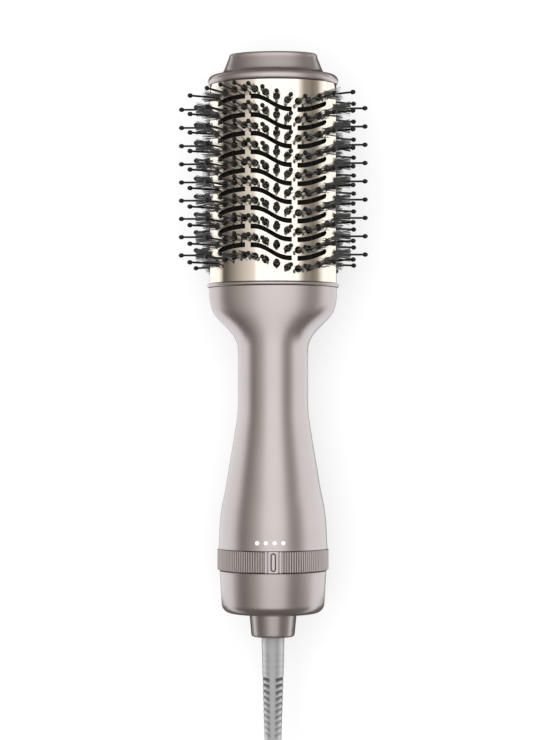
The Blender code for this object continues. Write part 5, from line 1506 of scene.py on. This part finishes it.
def pins_tree(sizes, material):
    """A thin stiff pin with a ball on its end on each tuft."""
    tree, size, end = growth_tree("ball pins", sizes)
    feet = size["Geometry"]
    way = named(tree, "way", "FLOAT_VECTOR")
    half_ball = sums(tree, "MULTIPLY", size["Ball Height"], 0.5)
    ball_place = sums(tree, "SUBTRACT", named(tree, "reach", "FLOAT"), half_ball)
    rod = add_node(tree, "GeometryNodeMeshCylinder", {
        "Vertices": 8, "Depth": 1.0, "Radius": size["Pin Radius"]}, fill_type="NONE")
    stand = add_node(tree, "GeometryNodeTransform", {
        "Geometry": rod.outputs["Mesh"], "Translation": (0, 0, 0.5)})
    root = scaled(tree, way, sums(tree, "MULTIPLY", size["Root"], -1.0))
    rods = planted(tree, feet, root, stand.outputs[0], way,
                   triple(tree, 1.0, 1.0, sums(tree, "ADD", ball_place, size["Root"])))
    ball = add_node(tree, "GeometryNodeMeshUVSphere", {"Segments": 12, "Rings": 7, "Radius": 1.0})
    balls = planted(tree, feet, scaled(tree, way, ball_place), ball.outputs["Mesh"], way,
                    triple(tree, size["Ball Radius"], size["Ball Radius"], half_ball))
    both = add_node(tree, "GeometryNodeJoinGeometry")
    for part in (rods, balls):
        tree.links.new(part, both.inputs[0])
    finished(tree, both.outputs[0], end, material)
    return tree


def bristle_bars(material):
    """The bars, each with chamfered edges, from the seat to the tip plate."""
    bars = []
    groups = [flats[k:k + 2] for flats in (FRONT_FLATS, BACK_FLATS) for k in range(0, len(flats), 2)]
    groups += [(flat,) for flat in END_FLATS]
    cut, thick = BAR_CHAMFER, BAR_THICKNESS
    for group in groups:
        first, second, _, way = flat_of(group[0])
        start = first.lerp(second, BAR_EDGE_SHARE) - way * (SLEEVE_WALL + BAR_CLEARANCE)
        first, second, _, way = flat_of(group[-1])
        stop = second.lerp(first, BAR_EDGE_SHARE) - way * (SLEEVE_WALL + BAR_CLEARANCE)
        along = (stop - start).normalized()
        out = Vector((-along.y, along.x))
        wide = (stop - start).length
        section = [(cut, 0), (wide - cut, 0), (wide, -cut), (wide, cut - thick), (wide - cut, -thick),
                   (cut, -thick), (0, cut - thick), (0, -cut)]
        rings = []
        for y, inset in ((BAR_LOW, cut), (BAR_LOW + cut, 0), (BAR_HIGH - cut, 0), (BAR_HIGH, cut)):
            corners = [start + along * min(max(u, inset), wide - inset)
                       + out * min(max(v, inset - thick), -inset) for u, v in section]
            rings.append([(corner.x, y, AXIS_HEIGHT + corner.y) for corner in corners])
        bars.append(skin_of(rings))
    piece = new_piece("nylon_bars", *joined(bars), material, smooth=False)
    outward(piece, 20.0)
    return piece


def bristles():
    """Bars, strands and pins, which all stay with the handle."""
    nylon = black_nylon("nylon strands", (0.022, 0.022, 0.022), (0.230, 0.227, 0.223), (0.25, 0.38))
    hard = black_nylon("pin nylon", (0.006, 0.006, 0.006), (0.012, 0.012, 0.012), (0.26, 0.38), 0.3)
    matt = black_nylon("bar nylon", (0.006, 0.006, 0.006), (0.010, 0.010, 0.010), (0.75, 0.90), 0.15)
    feet, marks = tuft_places()
    sizes = {"Strand Radius": STRAND_RADIUS, "Strand Height": STRAND_HEIGHT, "Tuft Radius": TUFT_RADIUS,
             "Root": STRAND_ROOT}
    strands = grown("nylon_strands", strands_tree(sizes, nylon), sizes, feet, marks)
    sizes = {"Pin Radius": PIN_RADIUS, "Ball Radius": BALL_RADIUS, "Ball Height": BALL_HEIGHT,
             "Root": PIN_ROOT}
    pins = grown("ball_pins", pins_tree(sizes, hard), sizes, feet, marks)
    nodes = [f"bristle_strip_{side}_{number}" for side in ("front", "back") for number in range(1, 7)]
    nodes += ["bristle_strip_left", "bristle_strip_right"]
    for piece in (bristle_bars(matt), strands, pins):
        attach(piece, "handle")
        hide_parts(*nodes)


bristles()

# Inside the handle and the barrel. These pieces keep the shapes they have in the frame and only
# get their real materials: moulded black nylon, drawn and turned steel, brass, mica, heating wire,
# a green circuit board and a dark wire mesh over the air inlet.


def moulded_black():
    """Glass-filled black nylon: matt, with a fine spark-eroded grain and faint flow marks."""
    material, tree, shader = new_material("moulded black")
    grain, flow = noise_at(tree, 2200.0), noise_at(tree, 90.0, (1, 0.25, 1))
    feed(tree, shader, {
        "Base Color": two_tones(tree, flow, (0.014, 0.014, 0.015), (0.030, 0.030, 0.031)),
        "Roughness": spread(tree, grain, 0.42, 0.60), "Normal": bumps(tree, grain, 0.25, 0.00004)})
    return material


def bright_metal(name, dark, pale, fineness, rough, streak=(1, 1, 1)):
    """A worked metal with the fine marks of its tool, stretched the way it was worked."""
    material, tree, shader = new_material(name, {"Metallic": 1.0})
    marks = noise_at(tree, fineness, streak, detail=4.0)
    feed(tree, shader, {
        "Base Color": two_tones(tree, noise_at(tree, 60.0), dark, pale),
        "Roughness": spread(tree, marks, *rough), "Normal": bumps(tree, marks, 0.12, 0.00002)})
    return material


def mica_sheet():
    """Pressed mica: amber flakes of different sizes with a pearly face."""
    material, tree, shader = new_material("mica", {"Coat Weight": 0.4})
    flakes = object_pattern(tree, "ShaderNodeTexVoronoi", 420.0).outputs
    feed(tree, shader, {
        "Base Color": two_tones(tree, flakes["Color"], (0.34, 0.26, 0.15), (0.66, 0.56, 0.40)),
        "Roughness": spread(tree, flakes["Distance"], 0.25, 0.6),
        "Normal": bumps(tree, flakes["Distance"], 0.3, 0.00006)})
    return material


def circuit_green():
    """Green solder mask over copper tracks, which show as paler straight bands."""
    material, tree, shader = new_material("circuit board", {"Coat Weight": 0.5})
    bricks = object_pattern(tree, "ShaderNodeTexBrick", 160.0)
    feed(tree, bricks, {
        "Color1": (0.010, 0.115, 0.045, 1), "Color2": (0.016, 0.170, 0.070, 1),
        "Mortar": (0.030, 0.260, 0.110, 1), "Mortar Size": 0.05})
    feed(tree, shader, {
        "Base Color": bricks.outputs["Color"],
        "Roughness": spread(tree, noise_at(tree, 700.0), 0.25, 0.40),
        "Normal": bumps(tree, bricks.outputs["Fac"], 0.3, 0.00005)})
    return material


def inlet_mesh():
    """A woven wire mesh: two crossed rows of round wires, dark between them."""
    material, tree, shader = new_material("inlet mesh", {"Metallic": 0.6})
    rows = [object_pattern(tree, "ShaderNodeTexWave", 340.0, bands_direction=way).outputs["Fac"]
            for way in ("X", "Z")]
    wires = sums(tree, "MAXIMUM", *rows)
    feed(tree, shader, {
        "Base Color": two_tones(tree, wires, (0.010, 0.010, 0.011), (0.17, 0.17, 0.18)),
        "Roughness": spread(tree, wires, 0.7, 0.4), "Normal": bumps(tree, wires, 0.6, 0.0002)})
    return material


def inner_pieces():
    """Gives each piece that stays as it is in the frame its material."""
    steel = bright_metal("zinc-plated steel", (0.46, 0.46, 0.47), (0.62, 0.62, 0.63), 500.0, (0.24, 0.40))
    turned_steel = bright_metal("turned steel", (0.52, 0.52, 0.53), (0.66, 0.66, 0.67), 900.0,
                                (0.16, 0.30), (0.2, 3, 0.2))
    brass = bright_metal("spring brass", (0.60, 0.42, 0.18), (0.76, 0.60, 0.32), 700.0, (0.22, 0.38))
    alloy = bright_metal("heating wire", (0.20, 0.17, 0.15), (0.42, 0.40, 0.40), 1500.0, (0.35, 0.55))
    finishes = (
        (moulded_black(), ("tip_plate", "bristle_frame", "air_duct", "fan_shroud", "fan_wheel",
                           "switch_body", "dial_track", "swivel_bush")),
        (steel, ("motor", "collar_clip", "thermal_cutout", "seat_screw_left", "seat_screw_right")),
        (turned_steel, ("motor_shaft",)), (brass, ("dial_wiper",)), (alloy, ("heating_wire",)),
        (mica_sheet(), ("heater_frame",)), (circuit_green(), ("circuit_board",)),
        (inlet_mesh(), ("intake_filter",)),
    )
    for material, nodes in finishes:
        for node in nodes:
            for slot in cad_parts[node].material_slots:
                slot.material = material


inner_pieces()
